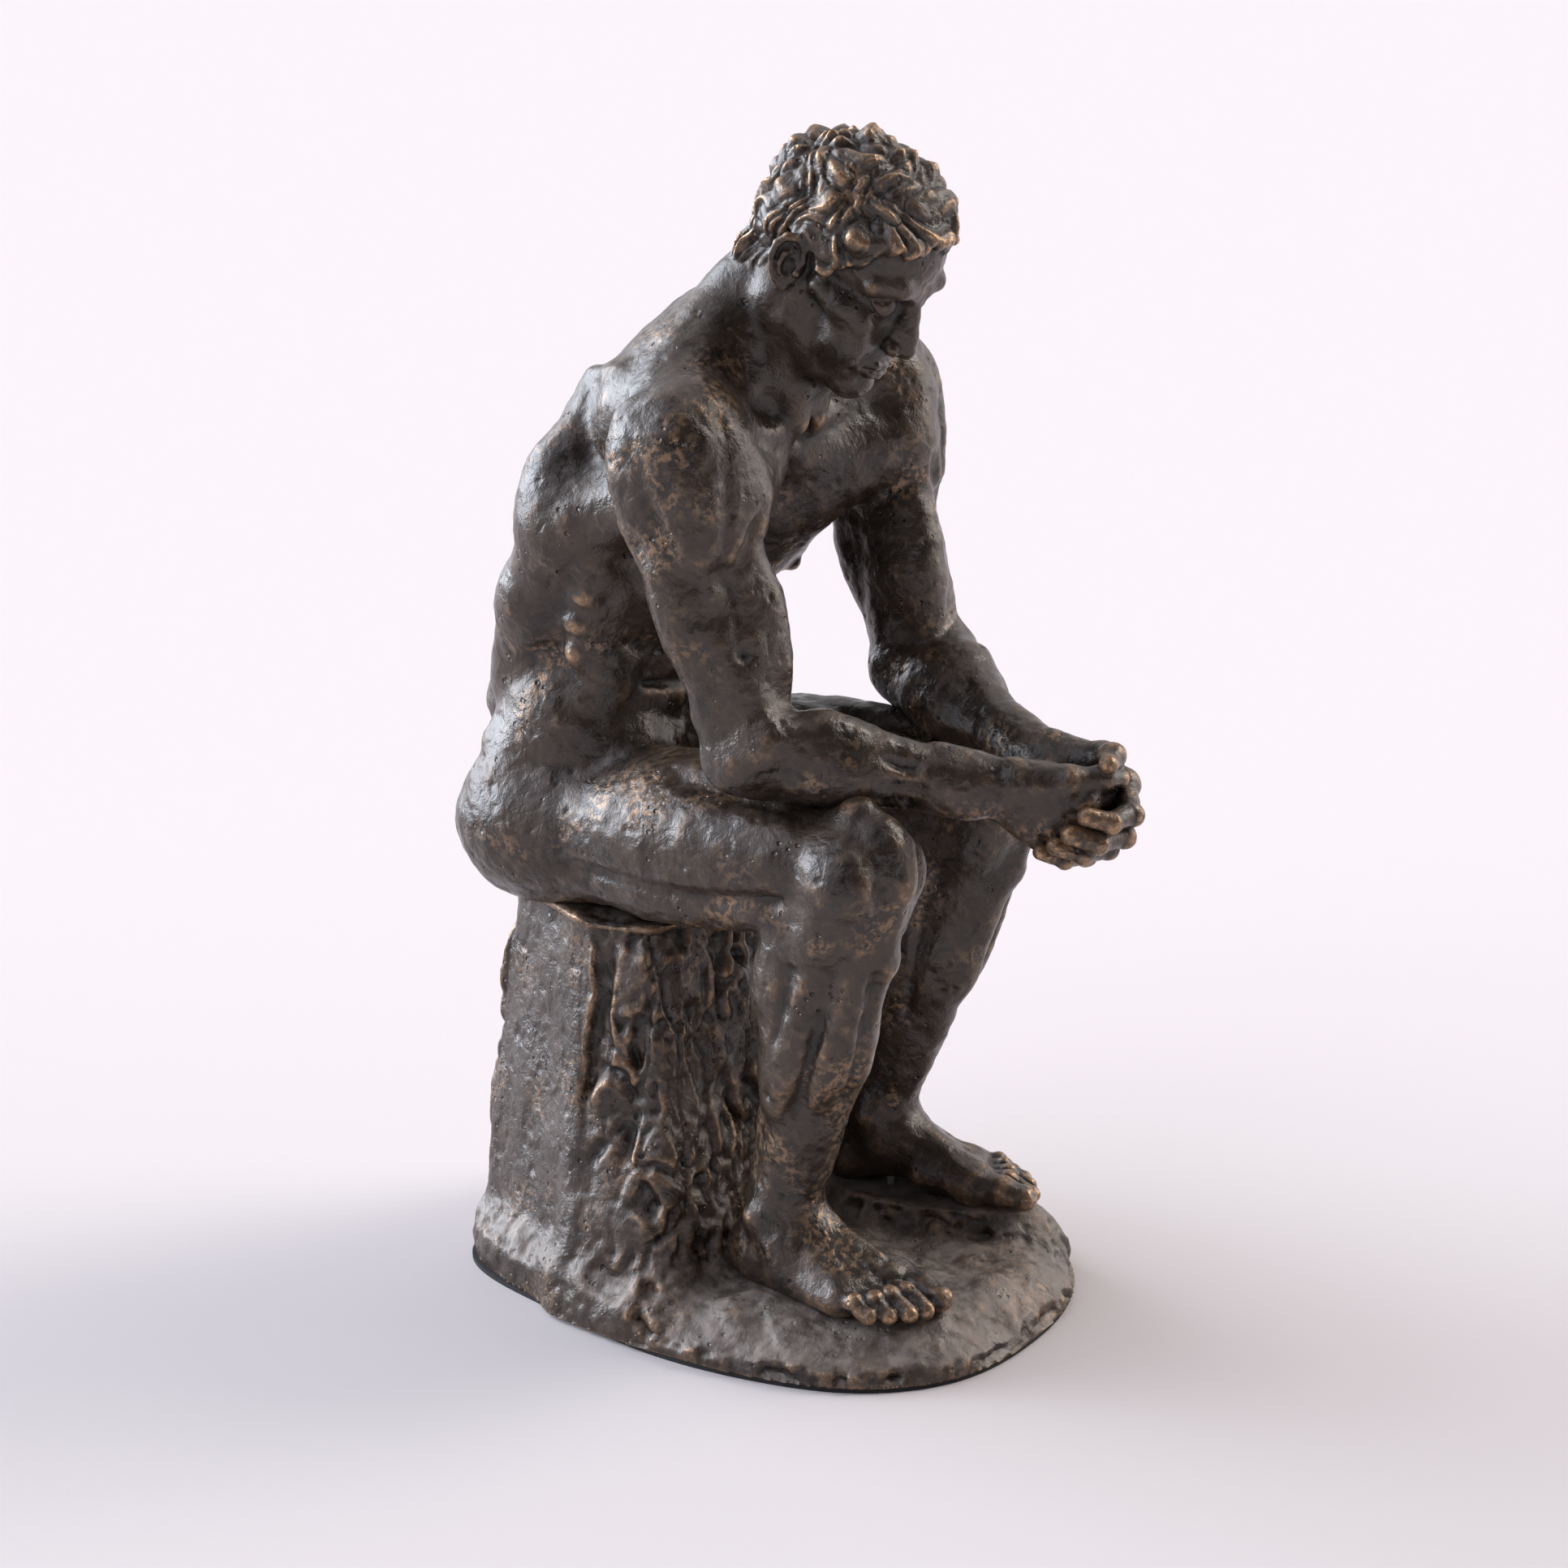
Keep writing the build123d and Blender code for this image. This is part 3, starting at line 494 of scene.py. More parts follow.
# cleft of the buttocks
torso.stroke([A3(0, 21.0, 51.0), A3(0, 23.0, 45.0), A3(0, 21.6, 38.5)], -2.0, 1.6)
for s in (-1, 1):
    torso.stroke([TP(53.5, s * 5.0, -11.0), TP(52.8, s * 5.0, -11.0)], -0.6, 1.5, n=Y)
    # rib arch
    torso.stroke([TP(73.4, s * 1.6, 12.6), TP(70.8, s * 6.4, 11.4), TP(66.6, s * 11.0, 8.4)], 0.4, 1.2, n=TF(70))
    # fold below the chest muscle
    torso.stroke([TP(74.8, s * 3.4, 12.6), TP(74.6, s * 8.6, 11.6), TP(77.6, s * 13.6, 8.0)], -0.55, 1.2)
    # neck muscles from behind the ear to the notch
    torso.cone(HEAD_O + X * s * 5.4 + HEAD_F * -2.6 + HEAD_H * -5.6, A3(s * 1.6, -15.6, 92.0), 2.0, 1.4, k=1.6)
    # the groove between chest and shoulder
    torso.stroke([TP(92.0, s * 12.6, 5.0), A3(s * 13.6, -18.6, 86.6)], -0.5, 1.0)
# notch between the collar bones, and the throat
torso.stroke([TP(91.4, 0, 7.2), TP(90.8, 0, 8.0)], -1.3, 1.3)
torso.ball(A3(0, -20.4, 99.8), 1.7, k=2.2)


def seat_cut(d, P):
    return smax(d, F32(SEAT) - P[2], 1.6)


def f_torso(P, cc, cr):
    return seat_cut(torso.field(P, cc, cr), P)


# ====================================================================== arms
arms = {}
arm_axes = {}
for s in (-1, 1):
    m = Mass()
    sh, el, wr = SHOULDER[s], ELBOW[s], WRIST[s]
    a = unit(el - sh)
    b = unit(wr - el)
    f = perp(b, a)
    l = np.cross(a, f)
    if l[0] * s < 0:
        l = -l
    ax = [l, f, a]
    m.cone(sh + a * 1.0, el, 5.2, 4.2, k=2)
    # shoulder cap
    m.ball(sh + a * 0.4, 6.4, k=2)
    m.ell(sh + a * 5.0 + l * 2.5, (4.9, 5.4, 10.2), ax, k=1.8)
    m.ell(sh + a * 4.2 + f * 3.5 + l * 0.4, (4.1, 4.1, 9.6), ax, k=1.6)
    m.ell(sh + a * 4.4 - f * 3.6 + l * 1.0, (4.2, 4.2, 9.4), ax, k=1.6)
    m.cone(sh + a * 11.5 + l * 3.2, sh + a * 17 + l * 2.8, 2.5, 1.4, k=2.2)
    m.stroke([sh + a * -1 + f * 4.0 + l * 3.6, sh + a * 8 + f * 3.4 + l * 5.6, sh + a * 14 + f * 1.4 + l * 5.2], -0.6, 1.0)
    m.stroke([sh + a * -1 - f * 3.6 + l * 4.2, sh + a * 8 - f * 3.4 + l * 5.6, sh + a * 14 - f * 1.4 + l * 5.2], -0.6, 1.0)
    m.stroke([sh + a * 9 - f * 5.6 + l * 3.4, sh + a * 14 - f * 3.0 + l * 5.4, sh + a * 18.5 + l * 4.8, sh + a * 22 + f * 1.4 + l * 4.4], -0.75, 1.0)
    m.stroke([sh + a * 9 + f * 5.8 + l * 2.2, sh + a * 14 + f * 3.2 + l * 4.6, sh + a * 17.5 + f * 1.0 + l * 4.9], -0.65, 0.9)
    # biceps, brachialis
    m.ell(sh + a * 19.6 + f * 3.2 - l * 0.3, (3.8, 3.9, 8.8), ax, k=1.8)
    m.cone(sh + a * 24 + f * 3.6, el + b * 2.4 + f * 0.6 - a * 0.6, 2.2, 1.3, k=1.6)
    m.ell(sh + a * 23.4 + f * 0.7 + l * 2.8, (2.4, 2.9, 7.4), ax, k=1.5)
    # triceps: outer, long, inner heads and the flat tendon
    m.ell(sh + a * 15.0 - f * 3.0 + l * 2.5, (3.3, 3.4, 9.0), ax, k=1.5)
    m.ell(sh + a * 15.6 - f * 3.3 - l * 2.1, (3.4, 3.6, 10.0), ax, k=1.5)
    m.ell(sh + a * 24.6 - f * 2.4 + l * 0.0, (3.7, 2.5, 7.6), ax, k=1.8)
    m.stroke([sh + a * 18.0 - f * 6.4 + l * 0.4, sh + a * 26 - f * 5.0 + l * 0.2], -0.9, 1.1, n=f)
    m.stroke([sh + a * 13.5 + l * 5.4 + f * 1.9, sh + a * 22 + l * 4.6 + f * 1.9], -0.8, 1.0, n=l)
    # elbow
    m.ball(el + a * 1.0 - f * 1.9, 2.7, k=1.8)
    m.ball(el + l * 3.0 - a * 0.2, 2.1, k=1.9)
    m.ball(el - l * 3.2 - a * 0.2, 2.1, k=1.9)
    # forearm
    u = perp(-a, b)
    l2 = np.cross(b, u)
    if l2 @ l < 0:
        l2 = -l2
    bx = [l2, u, b]
    m.cone(el, el + b * 10, 4.4, 4.1, k=1.8)
    m.cone(el + b * 8, wr - b * 2, 4.1, 3.0, k=2.4)
    m.cone(wr - b * 5, wr + b * 1.0, 3.0, 2.8, k=1.8, flat=(l2, 1.2))
    m.chain([el - a * 5.4 + l * 2.8 + f * 1.0, el - a * 1.0 + l * 3.3 + f * 2.4, el + b * 7.5 + u * 2.6 + l2 * 1.7, el + b * 15.5 + u * 2.0 + l2 * 0.5],
            [1.6, 2.6, 2.6, 1.4], k=1.8)
    m.ell(el + b * 7.4 + l2 * 2.3 - u * 0.2, (2.7, 3.2, 8.2), bx, k=1.5)
    m.ell(el + b * 7.8 - l2 * 2.2 - u * 0.4, (2.9, 3.5, 9.0), bx, k=1.7)
    m.cone(el + b * 1 - u * 2.9, wr - u * 1.8 - b * 1.0, 1.8, 1.2, k=1.5)
    m.stroke([el + b * 4 - u * 3.2 + l2 * 2.6, el + b * 17 - u * 2.2 + l2 * 1.7], -0.65, 0.9)
    m.stroke([el + b * 4 + u * 2.2 + l2 * 3.6, el + b * 17 + u * 1.2 + l2 * 2.6], -0.65, 0.8)
    m.stroke([el + b * 6 - u * 0.8 + l2 * 4.4, el + b * 18 - u * 0.6 + l2 * 2.8], -0.4, 0.7)
    m.cone(wr - b * 3.0, wr + b * 4.0, 2.7, 2.5, k=2.0, flat=(l2, 1.15))
    m.ball(wr - b * 1.6 - u * 1.8 + l2 * 1.1, 1.35, k=1.0)
    m.stroke([wr - b * 7 + u * 2.1 - l2 * 2.1, wr + b * 0 + u * 1.3 - l2 * 2.1], 0.3, 0.6)
    arms[s] = m
    arm_axes[s] = (a, f, l, b, u, l2)

# ===================================================================== hands
# the right hand is a loose fist, the left is folded round it from the front;
# both hang a little from the wrists
HAND_O, HAND_W, HAND_DROP = A3(0, -42.2, 64.7), A3(0, -41.1, 57.4), math.radians(38.0)


def K3(x, y, z):
    """A point of the hands, laid out level, then dropped at the wrists."""
    y, z = (y - HAND_O[1]) * HAND_K, (z - HAND_O[2]) * HAND_K
    c_, s_ = math.cos(HAND_DROP), math.sin(HAND_DROP)
    return A3(x * HAND_K, HAND_W[1] + y * c_ - z * s_, HAND_W[2] + y * s_ + z * c_)


HAND_K = 1.08
HUP = K3(0, 0, 1) - K3(0, 0, 0)
h = arms[-1]
b = arm_axes[-1][3]
heel = WRIST[-1] + b * 1.6
kn = [(-0.9, -49.5, 69.0), (-0.8, -50.0, 66.9), (-0.9, -49.6, 64.8), (-1.3, -48.8, 62.9)]
for K, dz, r in zip(kn, (1.7, 0.7, -0.4, -1.5), (1.75, 1.75, 1.7, 1.55)):
    h.cone(heel + HUP * dz, K3(*K), 2.0, r, k=0.9)
for K, r in zip(kn, (1.4, 1.45, 1.35, 1.25)):
    K = A3(*K)
    h.ball(K3(*(K + A3(-0.4, -0.2, 0.1))), r, k=0.45)
    P1 = K + A3(4.0, -0.9, -0.2)
    h.cone(K3(*K), K3(*P1), r, r - 0.12, k=0.3)
    h.cone(K3(*P1), K3(*(P1 + A3(0.2, 3.4, 0))), r - 0.12, r - 0.25, k=0.3)
h.ell(K3(-1.3, -46.6, 66.0), (2.6, 4.2, 4.0), k=1.8)
for K in kn:
    h.stroke([WRIST[-1] - X * 2.4 + HUP * (K[2] - 66) * 0.4, K3(K[0] - 1.6, K[1] + 3.5, K[2]), K3(K[0] - 1.4, K[1] + 0.6, K[2])], 0.32, 0.5)
for K, M in zip(kn[:-1], kn[1:]):
    c_ = (A3(*K) + A3(*M)) / 2
    h.stroke([K3(c_[0] - 2.2, c_[1] + 3.6, c_[2]), K3(c_[0] - 1.4, c_[1] + 0.4, c_[2])], -0.5, 0.55)
h.chain([K3(-3.7, -44.4, 66.9), K3(-2.0, -47.4, 69.8), K3(0.4, -49.2, 71.3), K3(2.4, -50.0, 71.4)], [2.0, 1.55, 1.25, 1.05], k=1.0)
h.ball(K3(0.3, -49.2, 71.45), 1.28, k=0.4)

h = arms[1]
b = arm_axes[1][3]
kn = [(4.9, -50.2, 69.8), (5.2, -50.8, 67.6), (5.1, -50.4, 65.4), (4.7, -49.5, 63.3)]
for K, dz, r in zip(kn, (1.8, 0.7, -0.4, -1.5), (1.75, 1.75, 1.7, 1.55)):
    h.cone(WRIST[1] + b * 0.9 + X * 0.4 + HUP * dz, K3(*K), 2.0, r, k=0.9)
h.ell(K3(4.5, -46.5, 66.4), (2.3, 4.3, 4.1), k=1.8)
for K in kn:
    h.stroke([WRIST[1] + X * 2.4 + HUP * (K[2] - 66) * 0.4, K3(K[0] + 1.6, K[1] + 3.5, K[2]), K3(K[0] + 1.4, K[1] + 0.6, K[2])], 0.32, 0.5)
for K, M in zip(kn[:-1], kn[1:]):
    c_ = (A3(*K) + A3(*M)) / 2
    h.stroke([K3(c_[0] + 2.2, c_[1] + 3.6, c_[2]), K3(c_[0] + 1.4, c_[1] + 0.4, c_[2])], -0.5, 0.55)
pip = [(1.5, -53.2, 70.1), (1.4, -53.9, 67.8), (1.3, -53.5, 65.6), (1.1, -52.5, 63.4)]
dip = [(-1.6, -53.0, 69.8), (-2.1, -53.4, 67.5), (-2.0, -53.0, 65.3), (-1.7, -52.0, 63.2)]
tip = [(-3.5, -51.1, 69.3), (-4.1, -51.2, 67.0), (-3.9, -50.8, 64.8), (-3.4, -50.0, 62.9)]
for K, p, d, t, r in zip(kn, pip, dip, tip, (1.33, 1.38, 1.33, 1.18)):
    K, p, d, t = A3(*K), A3(*p), A3(*d), A3(*t)
    h.ball(K3(*(K + A3(0.3, -0.3, 0.1))), r + 0.12, k=0.5)
    h.cone(K3(*K), K3(*p), r, r - 0.12, k=0.35)
    h.ball(K3(*(p + A3(0.1, -0.3, 0.05))), r - 0.03, k=0.3)
    h.cone(K3(*p), K3(*d), r - 0.14, r - 0.22, k=0.25)
    h.ball(K3(*(d + A3(-0.1, -0.15, 0))), r - 0.18, k=0.25)
    h.cone(K3(*d), K3(*t), r - 0.24, r - 0.38, k=0.25)
    # creases over the joints, and the nail
    for q, dx in ((p, 0.0), (d, 0.0)):
        c_ = q + A3(0, -1.2, 0)
        h.stroke([K3(*(c_ + A3(dx, 0, -0.7))), K3(*(c_ + A3(dx, 0, 0.7)))], -0.12, 0.2)
    out_ = unit(K3(*(d + A3(-0.6, -1, 0))) - K3(*d))
    tip_ = (K3(*d) * 0.25 + K3(*t) * 0.75) + out_ * (r - 0.52)
    h.ell(tip_, (0.28, 0.62, 0.52), [out_, unit(K3(*t) - K3(*d)), np.cross(out_, unit(K3(*t) - K3(*d)))], k=0.08)
h.chain([K3(4.3, -44.6, 67.6), K3(4.1, -47.2, 70.8), K3(2.0, -48.2, 72.7), K3(-0.3, -48.9, 73.1)], [2.0, 1.55, 1.25, 1.02], k=1.0)
h.ball(K3(2.0, -48.2, 72.85), 1.3, k=0.4)


def f_arm(s):
    def fn(P, cc, cr):
        return arms[s].field(P, cc, cr)
    return fn


# ====================================================================== legs
legs = {}
leg_axes = {}
for s in (-1, 1):
    m = Mass()
    hp, kn, an = HIP[s], KNEE[s], ANKLE[s]
    a = unit(kn - hp)
    u = perp(Z, a)
    l = np.cross(a, u)
    if l[0] * s < 0:
        l = -l
    ax = [l, u, a]
    m.cone(hp, hp + a * 20, 8.8, 8.0, k=2)
    m.cone(hp + a * 18, kn - a * 2, 7.9, 6.0, k=3)
    m.ell(hp + a * 19 + u * 4.6, (5.4, 4.6, 18), ax, k=2.2)                 # front of the thigh
    m.ell(hp + a * 22 + l * 5.0 + u * 0.9, (4.3, 6.0, 17), ax, k=1.9)        # outer
    m.ell(hp + a * 32.6 - l * 4.2 + u * 1.9, (3.6, 4.2, 8.0), ax, k=1.6)     # inner, above the knee
    m.ell(hp + a * 33.6 + l * 4.0 + u * 1.7, (3.2, 3.9, 7.4), ax, k=1.6)
    m.ell(hp + a * 10 - l * 3.0 - u * 0.4, (5.2, 7.4, 14), ax, k=2.4)        # inner thigh
    m.ell(hp + a * 20 + l * 3.0 - u * 4.4, (3.9, 4.0, 16), ax, k=1.8)        # back of the thigh
    m.ell(hp + a * 20 - l * 3.0 - u * 4.3, (3.9, 4.0, 16), ax, k=1.8)
    m.ell(hp - a * 1.0 + l * 4.4 + u * 1.8, (5.4, 6.6, 7.4), ax, k=3.0)      # hip
    m.stroke([hp + a * 8 + l * 8.6 - u * 2.8, hp + a * 24 + l * 8.2 - u * 3.4, hp + a * 36 + l * 5.6 - u * 2.8], -0.85, 1.3, n=l)
    m.stroke([hp + a * 6 + l * 5.4 + u * 8.2, hp + a * 18 + l * 1.0 + u * 9.0, hp + a * 30 - l * 4.4 + u * 6.0], -0.4, 1.4, n=u)
    m.stroke([hp + a * 22 + l * 4.2 + u * 7.8, hp + a * 34 + l * 3.0 + u * 6.4], -0.5, 1.1, n=u)
    m.stroke([hp + a * 26 - l * 2.6 + u * 7.8, hp + a * 35 - l * 2.4 + u * 6.4], -0.45, 1.0, n=u)
    # knee
    b = unit(an - kn)
    f = perp(a, b)
    l2 = np.cross(b, f)
    if l2 @ l < 0:
        l2 = -l2
    bx = [l2, f, b]
    for t in (-1, 1):
        m.ball(kn + a * 0.7 + l * t * 2.9 - u * 0.2, 4.6, k=2.2)
        m.ball(kn + b * 5.2 + l2 * t * 2.6 + f * 0.2, 4.1, k=2.2)
    cap_n = unit(a * 0.86 + u * 0.5)
    cap_d = perp(b, cap_n)
    m.ell(kn + a * 4.3 + u * 1.9, (2.9, 1.7, 3.2), [l, cap_n, cap_d], k=1.6)
    m.cone(kn + a * 0.2 + u * 5.8, kn + a * 3.8 + u * 3.2, 2.4, 2.0, k=2.4)
    m.cone(kn + a * 4.8 - u * 0.8, kn + b * 8.0 + f * 4.6, 1.6, 1.5, k=1.8)
    m.ball(kn + b * 8.6 + f * 4.5, 1.7, k=1.8)
    m.ball(kn + b * 6.8 + l2 * 4.5 - f * 0.3, 1.8, k=1.8)
    for t in (-1, 1):
        m.stroke([kn + a * 5.4 + l * t * 3.3 + u * 2.0, kn + a * 5.6 + l * t * 3.0 - u * 1.6], -0.6, 1.1)
        m.stroke([kn + b * 4.6 + f * 5.4 + l2 * t * 2.0, kn + b * 6.6 + f * 5.2 + l2 * t * 2.2], -0.3, 1.0)
    # tendons behind the knee
    m.cone(hp + a * 32 + l * 4.0 - u * 3.8, kn + b * 5.8 + l2 * 4.2 - f * 2.2, 2.0, 1.4, k=2.0)
    m.cone(hp + a * 32 - l * 4.0 - u * 3.6, kn + b * 6.8 - l2 * 3.8 - f * 1.8, 2.1, 1.5, k=2.0)
    # lower leg
    m.cone(kn + b * 5, kn + b * 22, 5.4, 4.8, k=2)
    m.cone(kn + b * 20, an, 4.8, 3.3, k=2.4)
    m.chain([kn + b * 8 + f * 3.7 - l2 * 0.2, kn + b * 22 + f * 3.4 - l2 * 0.5, kn + b * 36 + f * 1.9 - l2 * 0.9], [2.0, 1.7, 1.5], k=1.9)
    m.ell(kn + b * 15.5 + f * 2.8 + l2 * 2.3, (2.6, 2.7, 11.0), bx, k=1.4)
    m.ell(kn + b * 17 - f * 0.8 + l2 * 4.1, (2.3, 2.9, 12.5), bx, k=1.5)
    m.ell(kn + b * 14.2 - f * 4.3 - l2 * 2.7, (3.7, 4.4, 9.6), bx, k=1.6)
    m.ell(kn + b * 13.0 - f * 4.0 + l2 * 2.7, (3.6, 4.1, 8.8), bx, k=1.6)
    m.ell(kn + b * 22.5 - f * 2.3, (5.0, 3.6, 10.4), bx, k=1.8)
    m.chain([kn + b * 25 - f * 4.2, kn + b * 34 - f * 3.6, an - f * 3.4 + b * 3.0], [2.1, 1.5, 1.7], k=1.9)
    m.stroke([kn + b * 10 + f * 3.0 + l2 * 5.2, kn + b * 28 + f * 1.4 + l2 * 4.0], -0.7, 0.9)
    m.stroke([kn + b * 9 + f * 5.4 + l2 * 1.4, kn + b * 26 + f * 4.6 + l2 * 0.7], -0.55, 0.9)
    m.stroke([kn + b * 11 - f * 1.6 + l2 * 6.2, kn + b * 27 - f * 1.6 + l2 * 4.4], -0.7, 0.9)
    m.stroke([kn + b * 14 - f * 1.0 - l2 * 5.6, kn + b * 27 + f * 0.6 - l2 * 4.2], -0.5, 0.9)
    m.stroke([kn + b * 8 - f * 8.4, kn + b * 19 - f * 7.6], -0.6, 1.3, n=f)
    # foot
    ft = A3(s * math.sin(FOOT_TURN[s]), -math.cos(FOOT_TURN[s]), 0)
    sd = A3(-ft[1], ft[0], 0)
    if sd[0] * s < 0:
        sd = -sd          # outward
    o = A3(an[0], an[1], FOOT_Z[s])

    def FP(fw, out, up, o=o, ft=ft, sd=sd):
        return o + ft * fw + sd * out + Z * up

    m.ball(FP(-0.2, -3.0, 8.9), 1.8, k=1.4)       # inner ankle bone
    m.ball(FP(-1.0, 3.2, 7.9), 1.7, k=1.4)        # outer
    m.cone(FP(0.2, 0, 9.6), FP(1.0, 0, 6.4), 3.5, 3.8, k=2.0)
    m.ell(FP(-3.4, 0.1, 3.1), (3.3, 3.5, 3.3), [sd, ft, Z], k=1.6)     # heel
    m.cone(FP(-2.6, 0, 3.4), FP(2, 0.4, 4.2), 3.2, 3.4, k=2)
    m.cone(FP(1.6, -0.4, 6.0), FP(10.4, -1.6, 3.1), 3.3, 2.2, k=2.2)   # instep
    m.cone(FP(2.0, 1.6, 4.2), FP(10.2, 2.6, 2.2), 3.0, 1.9, k=2.2)
    m.cone(FP(-2.0, 1.8, 1.8), FP(9.8, 4.0, 1.5), 2.1, 1.65, k=1.8)    # outer border
    m.cone(FP(6.5, -3.0, 2.3), FP(12.4, -3.2, 2.1), 1.8, 2.2, k=1.4)   # ball of the great toe
    m.ball(FP(12.6, -3.1, 2.15), 2.25, k=0.9)
    m.cone(FP(12.4, -1.6, 2.3), FP(10.6, 3.6, 1.7), 1.9, 1.6, k=1.4)
    for k_ in range(4):
        m.stroke([FP(5.0, -1.6 + k_ * 1.0, 5.4), FP(11.6 - k_ * 0.5, -1.7 + k_ * 1.6, 4.0 - k_ * 0.38)], 0.32, 0.5, n=Z)
    m.chain([FP(13.2, -3.2, 2.1), FP(15.9, -3.3, 2.05), FP(18.4, -3.1, 1.55)], [1.85, 1.65, 1.45], k=0.5)
    m.ell(FP(18.2, -3.1, 2.45), (1.15, 1.15, 0.6), [sd, ft, Z], k=0.12)
    toes = ((13.1, -0.6, 18.4, -0.6, 1.18), (12.7, 1.2, 17.5, 1.3, 1.12), (12.0, 2.85, 16.2, 3.05, 1.08), (11.0, 4.35, 14.7, 4.6, 1.02))
    for f0, s0, f1, s1, r in toes:
        fm = f0 + (f1 - f0) * 0.52
        m.chain([FP(f0, s0, 1.9), FP(fm, (s0 + s1) / 2, 2.3), FP(f1 - 0.9, s1, 1.55), FP(f1, s1, 1.15)], [r, r * 0.92, r * 0.85, r * 0.9], k=0.22)
        m.ball(FP(fm - 0.1, (s0 + s1) / 2, 2.6), r * 0.84, k=0.25)
        m.ell(FP(f1 + 0.05, s1, 1.75), (0.6, 0.66, 0.4), [sd, ft, Z], k=0.08)
    # the hollow of the arch
    m.cone(FP(2.0, -5.2, 0.2), FP(8.6, -5.4, 0.0), 2.0, 1.7, k=1.4, op="c")
    legs[s] = m
    leg_axes[s] = (a, u, l, b, f, l2, FP)


def f_leg(s):
    floor = F32(FOOT_Z[s] - 0.12)

    def fn(P, cc, cr):
        d = legs[s].field(P, cc, cr)
        d = smax(d, floor - P[2], 0.4)
        return np.where(P[1] > -12, smax(d, F32(SEAT) - P[2], 1.2), d)

    return fn


# ====================================================================== head
head = Mass()


def H(x, f, h):
    """A point of the head: to its left, forward of the ears, above the eye line."""
    return HEAD_O + X * x + HEAD_F * f + HEAD_H * h


HX = [X, HEAD_F, HEAD_H]
head.ell(H(0, -0.6, 3.6), (7.35, 9.5, 8.3), HX, k=1)
head.ell(H(0, 3.2, 3.9), (6.3, 5.7, 6.4), HX, k=2)
head.ball(H(0, -5.4, 1.0), 4.9, k=2.5)
head.ell(H(0, 3.0, -4.0), (5.6, 5.9, 7.4), HX, k=2)
head.ell(H(0, 6.6, -7.0), (3.2, 2.9, 3.2), HX, k=1.6)
for s in (-1, 1):
    head.chain([H(s * 5.5, -0.4, -3.0), H(s * 5.2, 0.5, -6.8), H(s * 3.6, 4.6, -9.2), H(s * 1.3, 7.0, -10.2)], [1.4, 1.5, 1.5, 1.6], k=1.8)
    head.chain([H(s * 4.4, 6.7, -2.3), H(s * 5.9, 4.6, -1.8), H(s * 6.6, 1.6, -1.2)], [1.5, 1.15, 0.9], k=1.4)
    head.ell(H(s * 3.8, 5.9, -5.4), (2.2, 2.4, 3.0), HX, k=1.8)
    head.chain([H(s * 1.1, 8.7, 2.0), H(s * 3.4, 8.35, 2.75), H(s * 5.6, 6.5, 2.2)], [0.9, 0.95, 0.9], k=1.1)
head.ball(H(0, 7.5, -10.0), 1.85, k=1.3)
head.ell(H(0, 2.8, -8.2), (4.2, 5.0, 2.4), HX, k=1.6)
for s in (-1, 1):
    head.ell(H(s * 3.15, 9.3, 0.1), (2.0, 2.0, 1.35), HX, k=1.1, op="c")
    # eyeball, heavy upper lid, lower lid
    eye = H(s * 3.1, 7.0, 0.0)
    head.ball(eye, 1.40, k=0.2)
    lid = unit(HEAD_H * 1.0 + HEAD_F * 0.55)
    low = unit(HEAD_H * -1.0 + HEAD_F * 0.40)

    def lid_fn(r, n, off, eye=eye):
        ball_ = cone_fn(eye, eye + 1e-3, r, r)
        n_ = n.astype(F32)
        e_ = eye.astype(F32)

        def fn(P):
            cut = (P[0] - e_[0]) * n_[0] + (P[1] - e_[1]) * n_[1] + (P[2] - e_[2]) * n_[2]
            return smax(ball_(P), F32(off) - cut, F32(0.12))

        return fn

    head.fn(lid_fn(1.74, lid, 0.02), eye, 5.0, "u", 0.10)
    head.fn(lid_fn(1.66, low, 0.78), eye, 5.0, "u", 0.12)
    head.stroke([H(s * 1.5, 8.2, 0.5), H(s * 2.3, 8.9, 1.25), H(s * 3.3, 8.9, 1.5), H(s * 4.9, 7.4, 0.75)], -0.34, 0.26)
    head.stroke([H(s * 1.7, 8.1, -1.3), H(s * 3.0, 8.3, -1.9), H(s * 4.6, 7.4, -1.5)], -0.16, 0.4)
# nose
head.chain([H(0, 8.5, 1.9), H(0, 9.5, -0.4), H(0, 10.4, -2.4), H(0, 10.95, -3.7)], [0.85, 0.75, 0.85, 1.0], k=0.8)
head.ell(H(0, 9.4, -2.6), (1.5, 1.3, 2.3), HX, k=0.7)
for s in (-1, 1):
    head.ell(H(s * 1.35, 9.75, -3.95), (0.85, 1.15, 0.85), HX, k=0.35)
    head.ball(H(s * 0.72, 10.1, -4.75), 0.42, k=0.25, op="c")
    head.stroke([H(s * 1.9, 9.9, -3.2), H(s * 2.35, 9.2, -3.8), H(s * 2.1, 9.0, -4.7)], -0.2, 0.3)
head.cone(H(0, 10.5, -4.4), H(0, 9.3, -5.0), 0.45, 0.5, k=0.35)
